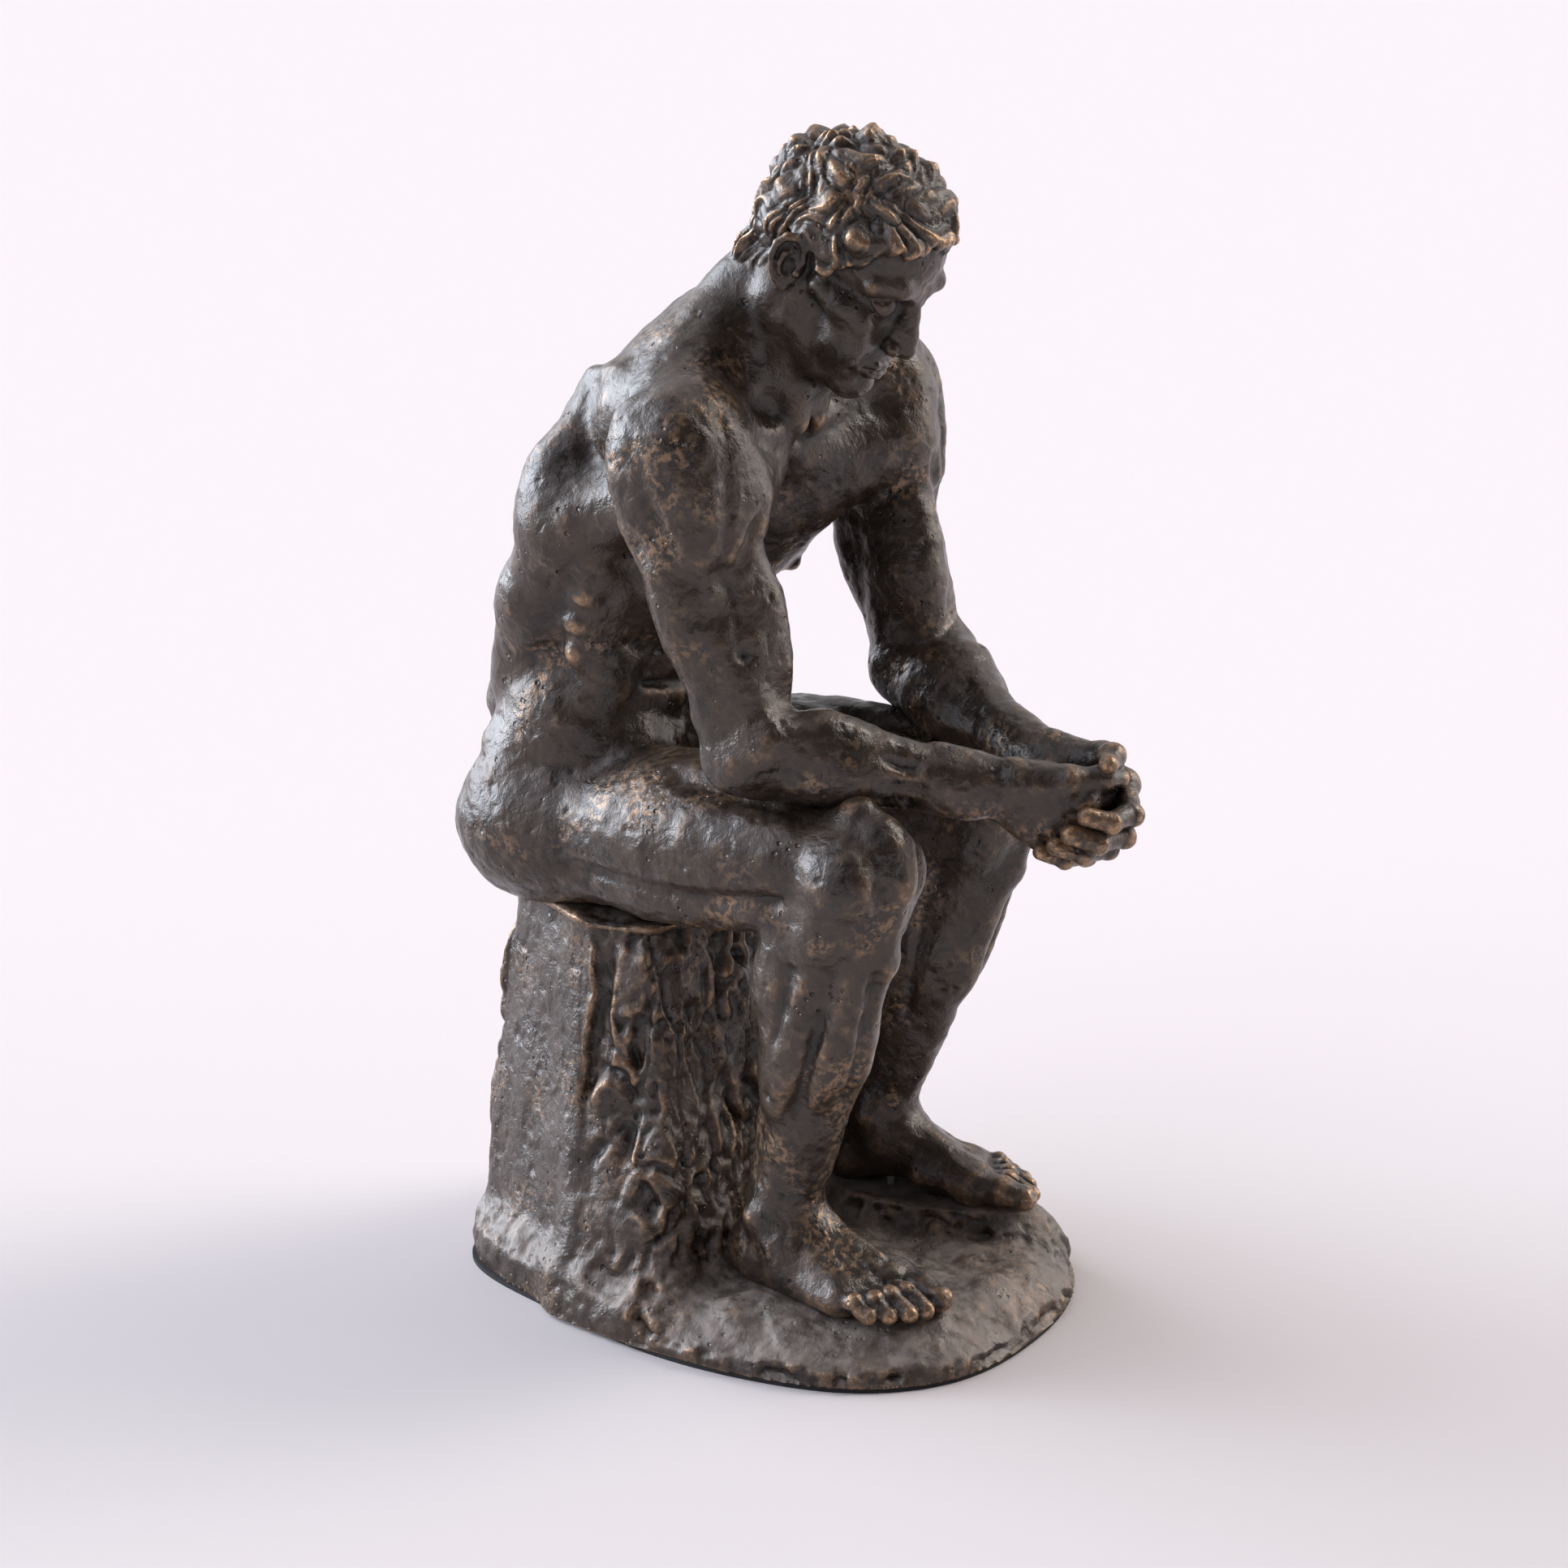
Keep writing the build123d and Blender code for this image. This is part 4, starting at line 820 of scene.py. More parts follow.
# mouth and chin
head.stroke([H(0, 9.7, -5.3), H(0, 9.8, -6.2)], -0.16, 0.3)
head.chain([H(-2.5, 8.45, -7.1), H(-1.2, 9.35, -6.75), H(0, 9.5, -6.85), H(1.2, 9.35, -6.75), H(2.5, 8.45, -7.1)], [0.2, 0.45, 0.45, 0.45, 0.2], k=0.35)
head.chain([H(-2.2, 8.4, -7.4), H(-1.1, 9.1, -7.85), H(0, 9.3, -7.95), H(1.1, 9.1, -7.85), H(2.2, 8.4, -7.4)], [0.2, 0.55, 0.6, 0.55, 0.2], k=0.35)
head.stroke([H(-2.8, 8.3, -7.2), H(-1.2, 9.7, -7.28), H(0, 9.85, -7.35), H(1.2, 9.7, -7.28), H(2.8, 8.3, -7.2)], -0.32, 0.2)
head.stroke([H(-1.6, 8.9, -8.9), H(1.6, 8.9, -8.9)], -0.3, 0.6)
for s in (-1, 1):
    head.stroke([H(s * 2.1, 9.3, -4.6), H(s * 3.1, 8.3, -6.2), H(s * 3.4, 7.7, -7.8)], -0.2, 0.5)
    head.ball(H(s * 2.95, 8.1, -7.2), 0.4, k=0.5)
    # ear: a thin shell leaning out at the back, rim, inner fold, bowl and lobe
    ear_n = unit(X * s * 0.90 + HEAD_F * 0.42 + HEAD_H * 0.10)
    ear_u = perp(HEAD_H * 1.0 - HEAD_F * 0.16, ear_n)
    ear_f = np.cross(ear_u, ear_n)
    if ear_f @ HEAD_F < 0:
        ear_f = -ear_f
    ear_c = H(s * 7.75, -2.0, -1.2)
    e = lambda f, h, n=0.0, c=ear_c, F=ear_f, Un=ear_u, Nn=ear_n: c + F * f + Un * h + Nn * n
    head.ell(e(0.0, 0.5, -0.1), (1.75, 2.75, 0.42), [ear_f, ear_u, ear_n], k=0.3)
    head.ell(e(0.5, 0.0, -0.9), (1.5, 2.2, 0.9), [ear_f, ear_u, ear_n], k=0.6)
    head.chain([e(1.15, -0.1, 0.05), e(1.45, 1.0, 0.2), e(1.2, 2.35, 0.35), e(0.3, 3.15, 0.4), e(-0.9, 3.0, 0.45), e(-1.65, 2.0, 0.45), e(-1.8, 0.7, 0.4), e(-1.35, -0.7, 0.3), e(-0.8, -1.7, 0.2)],
               [0.34, 0.36, 0.4, 0.42, 0.44, 0.42, 0.38, 0.34, 0.32], k=0.18)
    head.chain([e(0.3, 1.9, 0.25), e(-0.6, 1.2, 0.3), e(-0.75, 0.1, 0.3), e(-0.35, -0.9, 0.28)], [0.26, 0.32, 0.32, 0.3], k=0.2)
    head.ell(e(0.3, 0.0, 0.55), (0.72, 1.05, 0.62), [ear_f, ear_u, ear_n], k=0.25, op="c")
    head.ball(e(1.2, -0.35, 0.25), 0.42, k=0.25)
    head.ell(e(0.1, -2.0, 0.05), (0.78, 0.95, 0.42), [ear_f, ear_u, ear_n], k=0.35)

HAIRLINE = ([-11, -6.0, -4.8, -4.0, 0.0, 1.0, 2.0, 3.0, 4.6, 6.0, 8.0, 10.0], [-5.8, -5.4, -4.4, 1.6, 1.8, -0.6, -0.4, 2.6, 4.0, 6.0, 7.2, 7.6])


def head_local(P):
    q = P - HEAD_O.astype(F32)[:, None]
    return q[0], q[1] * F32(HEAD_F[1]) + q[2] * F32(HEAD_F[2]), q[1] * F32(HEAD_H[1]) + q[2] * F32(HEAD_H[2])


def hair_edge(x, f, h):
    """Above 0 inside the hair."""
    wave = 0.42 * np.sin(1.35 * x + 0.6) + 0.26 * np.sin(3.1 * x + 1.9 * f + 1.0) + 0.18 * np.sin(2.3 * f + 2.0)
    return (h - np.interp(f, *HAIRLINE) + 0.02 * x * x * (f > 3) + wave).astype(F32)


scalp = Mass()
scalp.ell(H(0, -0.7, 3.8), (8.0, 10.2, 9.0), HX, k=1)
scalp.ball(H(0, -5.3, 0.6), 5.6, k=2.5)
scalp.ell(H(0, 3.1, 4.2), (6.9, 6.3, 6.8), HX, k=2)


def f_head(P, cc, cr):
    d = head.field(P, cc, cr)
    if np.linalg.norm(cc - H(0, -1, 2)) < cr + 13:
        x, f, h = head_local(P)
        hair = scalp.field(P, cc, cr)
        d = smin(d, smax(hair, -hair_edge(x, f, h), 0.8), 0.5)
    return d


# =============================================================== joined fields
def leg_k(P):
    return (1.4 + 3.4 * np.clip((54 - P[2]) / 8, 0, 1)).astype(F32)


def all_fields(P, cc, cr):
    return np.stack([
        f_torso(P, cc, cr), f_head(P, cc, cr),
        arms[-1].field(P, cc, cr), arms[1].field(P, cc, cr),
        f_leg(-1)(P, cc, cr), f_leg(1)(P, cc, cr),
    ])


ARM_K = 1.8


def F_torso(P, cc, cr):
    T, Hd, Ar, Al, Lr, Ll = all_fields(P, cc, cr)
    k = leg_k(P)
    d = smin(T, Hd, 1.2)
    d = smin(d, Ar, ARM_K)
    d = smin(d, Al, ARM_K)
    d = smin(d, Lr, k)
    return smin(d, Ll, k)


def neck_side(P):
    """Above 0 in the head casting: over the neck's joint face, clear of the shoulders."""
    n, p = NECK_N.astype(F32), NECK_P.astype(F32)
    over = (P[1] - p[1]) * n[1] + (P[2] - p[2]) * n[2]
    return np.minimum(over, 8.6 + 0.9 * np.maximum(P[2] - 101.5, 0) - np.abs(P[0]))


def G_torso(P, cc, cr):
    T, Hd, Ar, Al, Lr, Ll = all_fields(P, cc, cr)
    g = T - np.minimum(np.minimum(Ar, Al), np.minimum(Lr, Ll))
    return np.maximum(g, neck_side(P))


def F_head(P, cc, cr):
    return smin(f_torso(P, cc, cr), f_head(P, cc, cr), 1.2)


def G_head(P, cc, cr):
    return -neck_side(P)


def F_arm(s):
    def fn(P, cc, cr):
        return smin(f_torso(P, cc, cr), arms[s].field(P, cc, cr), ARM_K)
    return fn


def wrist_side(P, s):
    w, b = WRIST[s].astype(F32), arm_axes[s][3].astype(F32)
    return (P[0] - w[0]) * b[0] + (P[1] - w[1]) * b[1] + (P[2] - w[2]) * b[2]


def G_arm(s):
    def fn(P, cc, cr):
        g = arms[s].field(P, cc, cr) - f_torso(P, cc, cr)
        return np.maximum(g, wrist_side(P, s))
    return fn


def F_hands(P, cc, cr):
    return np.minimum(arms[-1].field(P, cc, cr), arms[1].field(P, cc, cr))


def G_hands(P, cc, cr):
    return np.where(P[0] < 0, -wrist_side(P, -1), -wrist_side(P, 1))


def F_leg(s):
    def fn(P, cc, cr):
        return smin(f_torso(P, cc, cr), f_leg(s)(P, cc, cr), leg_k(P))
    return fn


def G_leg(s):
    def fn(P, cc, cr):
        return f_leg(s)(P, cc, cr) - f_torso(P, cc, cr)
    return fn


# ====================================================================== rock
RIM = [
    (-12.0, 21.0), (-3.0, 22.0), (8.0, 21.4), (17.0, 19.2), (21.5, 12.0), (23.0, 0.0),
    (24.2, -14.0), (24.0, -27.0), (21.0, -37.0), (11.5, -44.0), (-3.0, -46.0),
    (-14.0, -43.8), (-21.6, -37.0), (-25.6, -25.0), (-25.9, -11.0), (-22.4, 3.5),
]
SEAT_LOW = [
    (-12.0, 20.0), (2, 20.8), (17.5, 18.8), (19.8, 5), (18.5, -11.5),
    (5, -13.8), (-9, -13.2), (-18.5, -10.5), (-21.0, 3.0),
]
SEAT_TOP = [
    (-9.5, 17.5), (2, 18.2), (14.5, 16.4), (16.2, 5), (14.8, -6.5),
    (4, -8.6), (-8, -8.2), (-15.2, -5.6), (-16.8, 2.0),
]
RISE_LOW = [(-22.4, 3.5), (-24.3, -5.0), (-23.2, -12.4), (-17.5, -13.9), (-8.0, -13.6), (-8.0, 3.0)]
RISE_TOP = [(-19.5, 3.0), (-19.3, -3.0), (-18.3, -8.2), (-15.5, -10.2), (-9.0, -10.6), (-9.0, 3.0)]
RISE = 17.0
BOTTOM = (FELT - GROUND) / U


def closed_curve(points, per=6):
    """Points on a smooth closed curve through the given ones."""
    P = np.array(points, float)
    n = len(P)
    nxt, prv = np.roll(P, -1, 0), np.roll(P, 1, 0)
    h = np.linalg.norm(nxt - P, axis=1)
    hp = np.roll(h, 1)
    A = np.zeros((n, n))
    for i in range(n):
        A[i, i] = 2 * (h[i] + hp[i])
        A[i, (i + 1) % n] += h[i]
        A[i, (i - 1) % n] += hp[i]
    M = np.linalg.solve(A, 6 * ((nxt - P) / h[:, None] - (P - prv) / hp[:, None]))
    out = []
    for i in range(n):
        j = (i + 1) % n
        for t in np.arange(per) / per:
            a, b = h[i] * (1 - t), h[i] * t
            out.append((M[i] * a ** 3 + M[j] * b ** 3) / (6 * h[i])
                       + (P[i] / h[i] - M[i] * h[i] / 6) * a + (P[j] / h[i] - M[j] * h[i] / 6) * b)
    return out


RIM_X, RIM_Y, RIM_STEP = -32.0, -52.0, 0.25


def rim_grid():
    """Distance from the rim over the ground plan, below 0 inside."""
    rim = np.array(closed_curve(RIM))
    x, y = np.meshgrid(np.arange(RIM_X, 32, RIM_STEP), np.arange(RIM_Y, 30, RIM_STEP), indexing="ij")
    best, inside = np.full(x.shape, 1e9), np.zeros(x.shape, bool)
    for a, b in zip(rim, np.roll(rim, -1, 0)):
        e = b - a
        t = np.clip(((x - a[0]) * e[0] + (y - a[1]) * e[1]) / (e @ e), 0, 1)
        best = np.minimum(best, (x - a[0] - t * e[0]) ** 2 + (y - a[1] - t * e[1]) ** 2)
        if a[1] != b[1]:
            inside ^= ((a[1] > y) != (b[1] > y)) & (x < a[0] + e[0] * (y - a[1]) / e[1])
    return (np.where(inside, -1, 1) * np.sqrt(best)).astype(F32)


def hull_planes(low, top, z0, z1):
    """Side planes of a hewn block, normals outward."""
    made = []
    n = len(low)
    mid = A3(*np.mean(low, 0), 0)
    for i in range(n):
        a0, a1 = low[i], low[(i + 1) % n]
        b0, b1 = top[i], top[(i + 1) % n]
        p0 = A3((a0[0] + a1[0]) / 2, (a0[1] + a1[1]) / 2, z0)
        p1 = A3((b0[0] + b1[0]) / 2, (b0[1] + b1[1]) / 2, z1)
        e = A3(a1[0] - a0[0], a1[1] - a0[1], 0) + A3(b1[0] - b0[0], b1[1] - b0[1], 0)
        nrm = unit(np.cross(e, p1 - p0))
        if nrm @ (p0 - mid) < 0:
            nrm = -nrm
        made.append((nrm, float(nrm @ p0)))
    return made


RIM_FIELD = rim_grid()
SEATS = hull_planes(SEAT_LOW, SEAT_TOP, -1.0, SEAT)
RISES = hull_planes(RISE_LOW, RISE_TOP, -1.0, RISE)
rock_bits = Mass()


def rim_side(x, y):
    """Distance outward from the rim."""
    u = np.clip((x - F32(RIM_X)) / F32(RIM_STEP), 0, RIM_FIELD.shape[0] - 1.01)
    v = np.clip((y - F32(RIM_Y)) / F32(RIM_STEP), 0, RIM_FIELD.shape[1] - 1.01)
    i, j = u.astype(np.int32), v.astype(np.int32)
    u, v = u - i, v - j
    return ((RIM_FIELD[i, j] * (1 - u) + RIM_FIELD[i + 1, j] * u) * (1 - v)
            + (RIM_FIELD[i, j + 1] * (1 - u) + RIM_FIELD[i + 1, j + 1] * u) * v).astype(F32)


def ground_height(x, y):
    """Lie of the ground: level under each foot, falling away to the rim."""
    inside = -rim_side(x, y)
    h = -0.1 - 3.2 * np.exp(-((inside / 3.4) ** 2))
    # ledge under the left foot
    o, ft = ANKLE[1], (math.sin(FOOT_TURN[1]), -math.cos(FOOT_TURN[1]))
    u_ = (x - F32(o[0])) * F32(ft[0]) + (y - F32(o[1])) * F32(ft[1])
    w_ = (x - F32(o[0])) * F32(-ft[1]) + (y - F32(o[1])) * F32(ft[0])
    q = np.sqrt(((u_ - 7.2) / 13.6) ** 2 + ((w_ - 0.3) / 6.6) ** 2)
    h = h + (LEDGE + 0.1) * np.clip((1.22 - q) / 0.24, 0, 1) ** 0.8
    # rise towards the seat
    front = np.clip((y + 15.5) / 7.0, 0, 1)
    h = h + 2.4 * front * front
    h = h + 0.35 * np.sin(x * 0.31 + 1.0) * np.cos(y * 0.27 - 0.6) * np.clip(inside / 6, 0, 1)
    return h


def f_rock(P, cc, cr):
    x, y, z = P
    side = rim_side(x, y) + 0.35 * np.clip((z + 5.3) / 5, 0, 1.5)
    ground = (z - ground_height(x, y)) * F32(0.85)
    d = smax(side, ground, 1.6)
    seat = None
    for n, c in SEATS:
        q = x * F32(n[0]) + y * F32(n[1]) + z * F32(n[2]) - F32(c)
        seat = q if seat is None else smax(seat, q, 1.0)
    top = z - F32(SEAT + 0.05)
    seat = smax(seat, top, 1.0)
    rise = None
    for n, c in RISES:
        q = x * F32(n[0]) + y * F32(n[1]) + z * F32(n[2]) - F32(c)
        rise = q if rise is None else smax(rise, q, 3.0)
    rise = smax(rise, (z - F32(RISE - 1.0) - 0.5 * (x + 18)) * F32(0.88), 3.0)
    d = smin(d, rise, 3.2)
    d = smin(d, seat, 1.8)
    d = smin(d, rock_bits.field(P, cc, cr), 1.2)
    return smax(d, F32(BOTTOM) - z, 0.05)


# ----------------------------------------------------------- surface of clay
def band(x, lo, hi):
    x = np.clip((x - lo) / (hi - lo), 0, 1)
    return x * x * (3 - 2 * x)


def clay(V, N, amount=1.0):
    """Thumbed clay: broad planes, small lumps, a few pits. Units."""
    d = 0.20 * noise(V, 5.0, 1) + 0.13 * noise(V, 2.4, 2) + 0.06 * noise(V, 1.1, 3)
    # flats left by the thumb and the tool
    c, tag = cells(V + 0.5 * noise(V, 2.0, 6)[:, None], 2.4, 4)
    d = d + 0.20 * (tag - 0.5) * np.clip(1.1 - c / 1.9, 0, 1)
    # pinholes here and there
    c, tag = cells(V, 1.9, 5)
    d = d - 0.24 * np.clip(1 - c / (0.16 + 0.34 * tag), 0, 1) ** 0.7 * (tag > 0.72)
    return d * amount


def seated(V, N):
    """1 on the flat underside that sits on the rock."""
    return band(-N[:, 2], 0.35, 0.8) * (1 - band(V[:, 2], SEAT + 0.5, SEAT + 1.5))


def trunk_skin(V, N):
    return clay(V, N) * (1 - seated(V, N))


def hair_lumps(V, N):
    """Short hair as a modeller presses it on: lumps, then locks drawn from the crown."""
    q = V - HEAD_O
    x, f, h = q[:, 0], q @ HEAD_F, q @ HEAD_H
    edge = hair_edge(x, f, h)
    ears = np.exp(-(((np.abs(x) - 8.3) / 1.6) ** 4 + ((f + 1.9) / 2.5) ** 4 + ((h + 0.9) / 3.7) ** 4))
    mask = np.clip(edge / 0.9, 0, 1) * (1 - np.clip(ears * 1.4, 0, 1))
    d = np.stack([x, f + 3.0, h - 1.5], 1)
    d /= np.linalg.norm(d, axis=1, keepdims=True)
    phi = np.arccos(np.clip(d[:, 2], -1, 1))
    ring_ = d[:, :2] / (np.linalg.norm(d[:, :2], axis=1, keepdims=True) + 1e-6)
    twist = 0.55 * noise(V, 5.0, 31)
    c_, s_ = np.cos(twist), np.sin(twist)
    r_ = np.sin(np.clip(phi, 0, np.pi / 2))[:, None] * np.stack(
        [ring_[:, 0] * c_ - ring_[:, 1] * s_, ring_[:, 0] * s_ + ring_[:, 1] * c_], 1) * 9.0
    D = np.concatenate([r_, (phi * 9.0 * 0.42)[:, None]], 1)
    lump = 0.75 * noise(V, 3.6, 32)
    c1, tag = cells(D, 1.75, 33)
    lock = 0.95 * (0.75 - c1) + 0.35 * (tag - 0.5)
    strand = 0.16 * noise(D * np.array([1, 1, 0.5]), 0.42, 34)
    return mask * (0.25 + lump + lock + strand)


def hand_skin(V, N):
    c, tag = cells(V, 1.1, 41)
    P = V.T.astype(F32)
    far = np.clip(np.where(P[0] < 0, wrist_side(P, -1), wrist_side(P, 1)) / 4.5, 0, 1)
    return clay(V, N, 1.0 - 0.62 * far) + far * 0.10 * (tag - 0.5) * np.clip(1 - c, 0, 1)


def head_skin(V, N):
    far = np.clip(neck_side(V.T.astype(F32)) / 5.0, 0, 1)
    return clay(V, N, 1.0 - 0.7 * far) + hair_lumps(V, N)


def rough_rock(V, N):
    """Hewn and torn: tall pockets and ribs down the walls, folds on the ground."""
    up = np.clip(N[:, 2], 0, 1)
    wall = 1 - band(up, 0.35, 0.8)
    warp = np.stack([noise(V, 4.0, 51), noise(V, 4.0, 52), noise(V, 6.0, 53)], 1)
    q = V + warp * 0.9
    tall = q * np.array([1.0, 1.0, 0.30])
    # the back corner's face is smoother, the side by the leg is torn deepest
    slab = band(N @ unit(A3(-0.90, 0.42, 0.1)), 0.80, 0.95) * (1 - band(V[:, 2], 36.5, 38.5))
    calm = 1 - 0.85 * slab
    torn = wall * calm * (0.55 + 0.45 * band(noise(V, 9.0, 54), -0.3, 0.4))
    d = (0.60 - 0.25 * slab) * noise(V * np.array([1, 1, 0.6]), 6.5, 11)
    d = d + 0.40 * noise(tall, 2.6, 12) * (0.25 * calm + torn)
    # ribs with sharp shoulders, and the pockets between them
    pocket = band(noise(tall, 2.9, 13), 0.08, 0.30) * torn
    d = d - 1.2 * pocket
    small = band(noise(q * np.array([1, 1, 0.5]), 1.35, 14), 0.22, 0.42) * (0.25 * calm + torn)
    d = d - 0.42 * small * (1 - 0.7 * slab)
    crack = np.exp(-((noise(tall, 5.0, 17) / 0.07) ** 2)) * torn
    d = d - 0.75 * crack
    c, tag = cells(tall, 2.9, 16)
    d = d + 0.55 * (tag - 0.5) * np.clip(1.25 - c / 2.0, 0, 1) * torn
    # the ground: pressed folds running round the feet, crumbs
    ground = 1 - wall
    fold = noise(q * np.array([0.8, 0.45, 1.0]), 2.4, 18)
    d = d + ground * (0.30 * noise(V, 4.0, 19) + 0.34 * (0.6 - np.abs(fold) * 2.2).clip(-0.3, 1) * band(noise(V, 6.0, 20), -0.25, 0.25))
    d = d + (0.12 * noise(V, 1.1, 15) + 0.07 * noise(V, 0.65, 21)) * (1 - 0.65 * slab)
    # pinholes and torn pits
    c, tag = cells(V, 2.1, 22)
    d = d - 0.55 * np.clip(1 - c / (0.30 + 0.5 * tag), 0, 1) ** 0.6 * (tag > 0.45) * (0.35 + 0.65 * torn)
    # the feet stand on firm ground; the underside stays flat
    for s_ in (-1, 1):
        o, ft = ANKLE[s_], A3(s_ * math.sin(FOOT_TURN[s_]), -math.cos(FOOT_TURN[s_]), 0)
        r_ = V - A3(o[0], o[1], 0)
        u_ = r_ @ ft
        w_ = r_ @ A3(-ft[1], ft[0], 0)
        near = np.sqrt(((u_ - 6.2) / 13.5) ** 2 + (w_ / 5.6) ** 2)
        d = d * (0.25 + 0.75 * band(near, 0.8, 1.15))
    sat = band(V[:, 2], SEAT - 1.6, SEAT - 0.6) * band(N[:, 2], 0.5, 0.85)
    inner = np.sqrt((V[:, 0] / 13.5) ** 2 + ((V[:, 1] - 6.5) / 11.0) ** 2)
    sat = sat * (1 - band(inner, 0.9, 1.1))
    d = d * (1 - sat) + 0.22 * sat
    d = d - 0.9 * slab * band(V[:, 2], 6.0, 34.0) * (1 - sat)
    rim = band(V[:, 2], BOTTOM + 0.1, BOTTOM + 1.3)
    d = d * (0.35 + 0.65 * rim) - 0.15 * (1 - rim)
    return d * (1 - band(-N[:, 2], 0.3, 0.7))


def make_mesh(name, V, Q, N, tris=None, attrs=None):
    """A Blender mesh from quads (and cap triangles), in metres in the statue's frame."""
    co = np.empty((len(V), 3), F32)
    co[:, 0] = V[:, 0] * U
    co[:, 1] = (V[:, 1] + Y_SHIFT) * U
    co[:, 2] = GROUND + V[:, 2] * U
    co /= 1000.0
    me = bpy.data.meshes.new(name)
    nt = 0 if tris is None else len(tris)
    loops = Q.reshape(-1)
    starts = np.arange(len(Q)) * 4
    if nt:
        loops = np.concatenate([loops, tris.reshape(-1)])
        starts = np.concatenate([starts, len(Q) * 4 + np.arange(nt) * 3])
    me.vertices.add(len(co))
    me.vertices.foreach_set("co", co.ravel())
    me.loops.add(len(loops))
    me.loops.foreach_set("vertex_index", loops.astype(np.int32))
    me.polygons.add(len(starts))
    me.polygons.foreach_set("loop_start", starts.astype(np.int32))
    me.polygons.foreach_set("use_smooth", np.ones(len(starts), bool))
    me.update(calc_edges=True)
    me.validate()
    if N is not None:
        me.normals_split_custom_set_from_vertices(N.astype(F32).tolist())
    for key, val in (attrs or {}).items():
        me.attributes.new(key, "FLOAT", "POINT").data.foreach_set("value", np.ascontiguousarray(val, F32))
    ob = bpy.data.objects.new(name, me)
    bpy.context.scene.collection.objects.link(ob)
    return ob


def cut_piece(V, Q, N, g, G, attrs):
    """Keep the faces on g's low side, draw their edge onto g = 0 and close it."""
    keep = g[Q].mean(1) < 0
    if keep.all():
        return V, Q, N, np.zeros((0, 3), int), attrs
    Qk = Q[keep]
    # largest part only
    a = Qk.reshape(-1)
    b = np.roll(Qk, -1, axis=1).reshape(-1)
    label = np.arange(len(V))
    for _ in range(200):
        m = np.minimum(label[a], label[b])
        new = label.copy()
        np.minimum.at(new, a, m)
        np.minimum.at(new, b, m)
        new = new[new][new]
        if (new == label).all():
            break
        label = new
    root = np.bincount(label[Qk[:, 0]], minlength=len(V)).argmax()
    Qk = Qk[label[Qk[:, 0]] == root]
    V, Qk, used = compact(V, Qk)
    N = N[used]
    attrs = {k: v[used] for k, v in attrs.items()}
    a = Qk.reshape(-1)
    b = np.roll(Qk, -1, axis=1).reshape(-1)
    n = len(V)
    code = a * n + b
    back = b * n + a
    open_ = ~np.isin(code, back)
    ea, eb = a[open_], b[open_]
    # draw the edge onto the seam, along the surface
    edge = np.unique(ea)
    P = V[edge].copy()
    Ne = N[edge]
    for _ in range(3):
        e = 0.05
        g0 = sweep(G, P.T, 6.0).astype(float)
        grad = np.stack([(sweep(G, (P + np.eye(3)[i] * e).T, 6.0) - g0) / e for i in range(3)], 1)
        grad -= Ne * (grad * Ne).sum(1, keepdims=True)
        q = (grad ** 2).sum(1) + 1e-3
        step = -grad * (g0 / q)[:, None]
        size = np.linalg.norm(step, axis=1, keepdims=True) + 1e-9
        P += step * np.minimum(1, 0.35 / size)
    V[edge] = P
    # loops, each closed by a fan
    nxt = {}
    for p, q in zip(ea.tolist(), eb.tolist()):
        nxt.setdefault(p, []).append(q)
    tris, extra_v, extra_n = [], [], []
    while nxt:
        start = next(iter(nxt))
        loop, cur = [start], start
        while True:
            outs = nxt[cur]
            q = outs.pop()
            if not outs:
                del nxt[cur]
            if q == start:
                break
            loop.append(q)
            cur = q
            if cur not in nxt:
                break
        c = V[loop].mean(0)
        ci = n + len(extra_v)
        extra_v.append(c)
        q0 = V[np.roll(loop, -1)] - c
        q1 = V[loop] - c
        nrm = np.cross(q0, q1).sum(0)
        extra_n.append(nrm / (np.linalg.norm(nrm) + 1e-12))
        for i in range(len(loop)):
            tris.append((loop[(i + 1) % len(loop)], loop[i], ci))
    V = np.vstack([V, extra_v])
    N = np.vstack([N, extra_n])
    k = len(extra_v)
    attrs = {key: np.concatenate([val, np.zeros(k)]) for key, val in attrs.items()}
    return V, Qk, N, np.array(tris, int), attrs


def build(name, F, G, lo, hi, v, detail=None, hair=None):
    t = time.time()
    A, lo = lattice(F, lo, hi, v)
    V, Q = surface(A, lo, v)
    if G is None:
        V, Q = biggest(V, Q)
    N = vertex_normals(V, Q)
    if detail is not None:
        d = Net(len(V), Q).smooth(detail(V, N), 1, 0.5)
        V = V + N * d[:, None]
        if name == "rock_cast":
            V[:, 2] = np.maximum(V[:, 2], BOTTOM)
        N = vertex_normals(V, Q)
    net = Net(len(V), Q)
    per = max(1, int(round((0.25 / v) ** 2 * 4)))
    fine = ((V - net.smooth(V, per)) * N).sum(1)
    broad = ((V - net.smooth(V, per * 8)) * N).sum(1)
    attrs = {"fine": net.smooth(fine, 1), "broad": net.smooth(broad, 2)}
    if name == "head_cast":
        # the face is rubbed less than the hair, which stands out more
        q = V - HEAD_O
        hair = np.clip(hair_edge(q[:, 0], q @ HEAD_F, q @ HEAD_H) / 0.8, 0, 1)
        attrs = {key: val * np.where(val > 0, 0.42 + 0.33 * hair, 1.0) for key, val in attrs.items()}
    g = sweep(G, V.T, 6.0).astype(float) if G is not None else np.full(len(V), -1.0)
    if G is not None:
        V, Q, N, tris, attrs = cut_piece(V, Q, N, g, G, attrs)
    else:
        tris = np.zeros((0, 3), int)
    ob = make_mesh(name, V, Q, N, tris, attrs)
    print(f"{name}: {len(V)} points, {len(Q)} quads, caps {len(tris)}, {time.time() - t:.1f} s")
    return ob


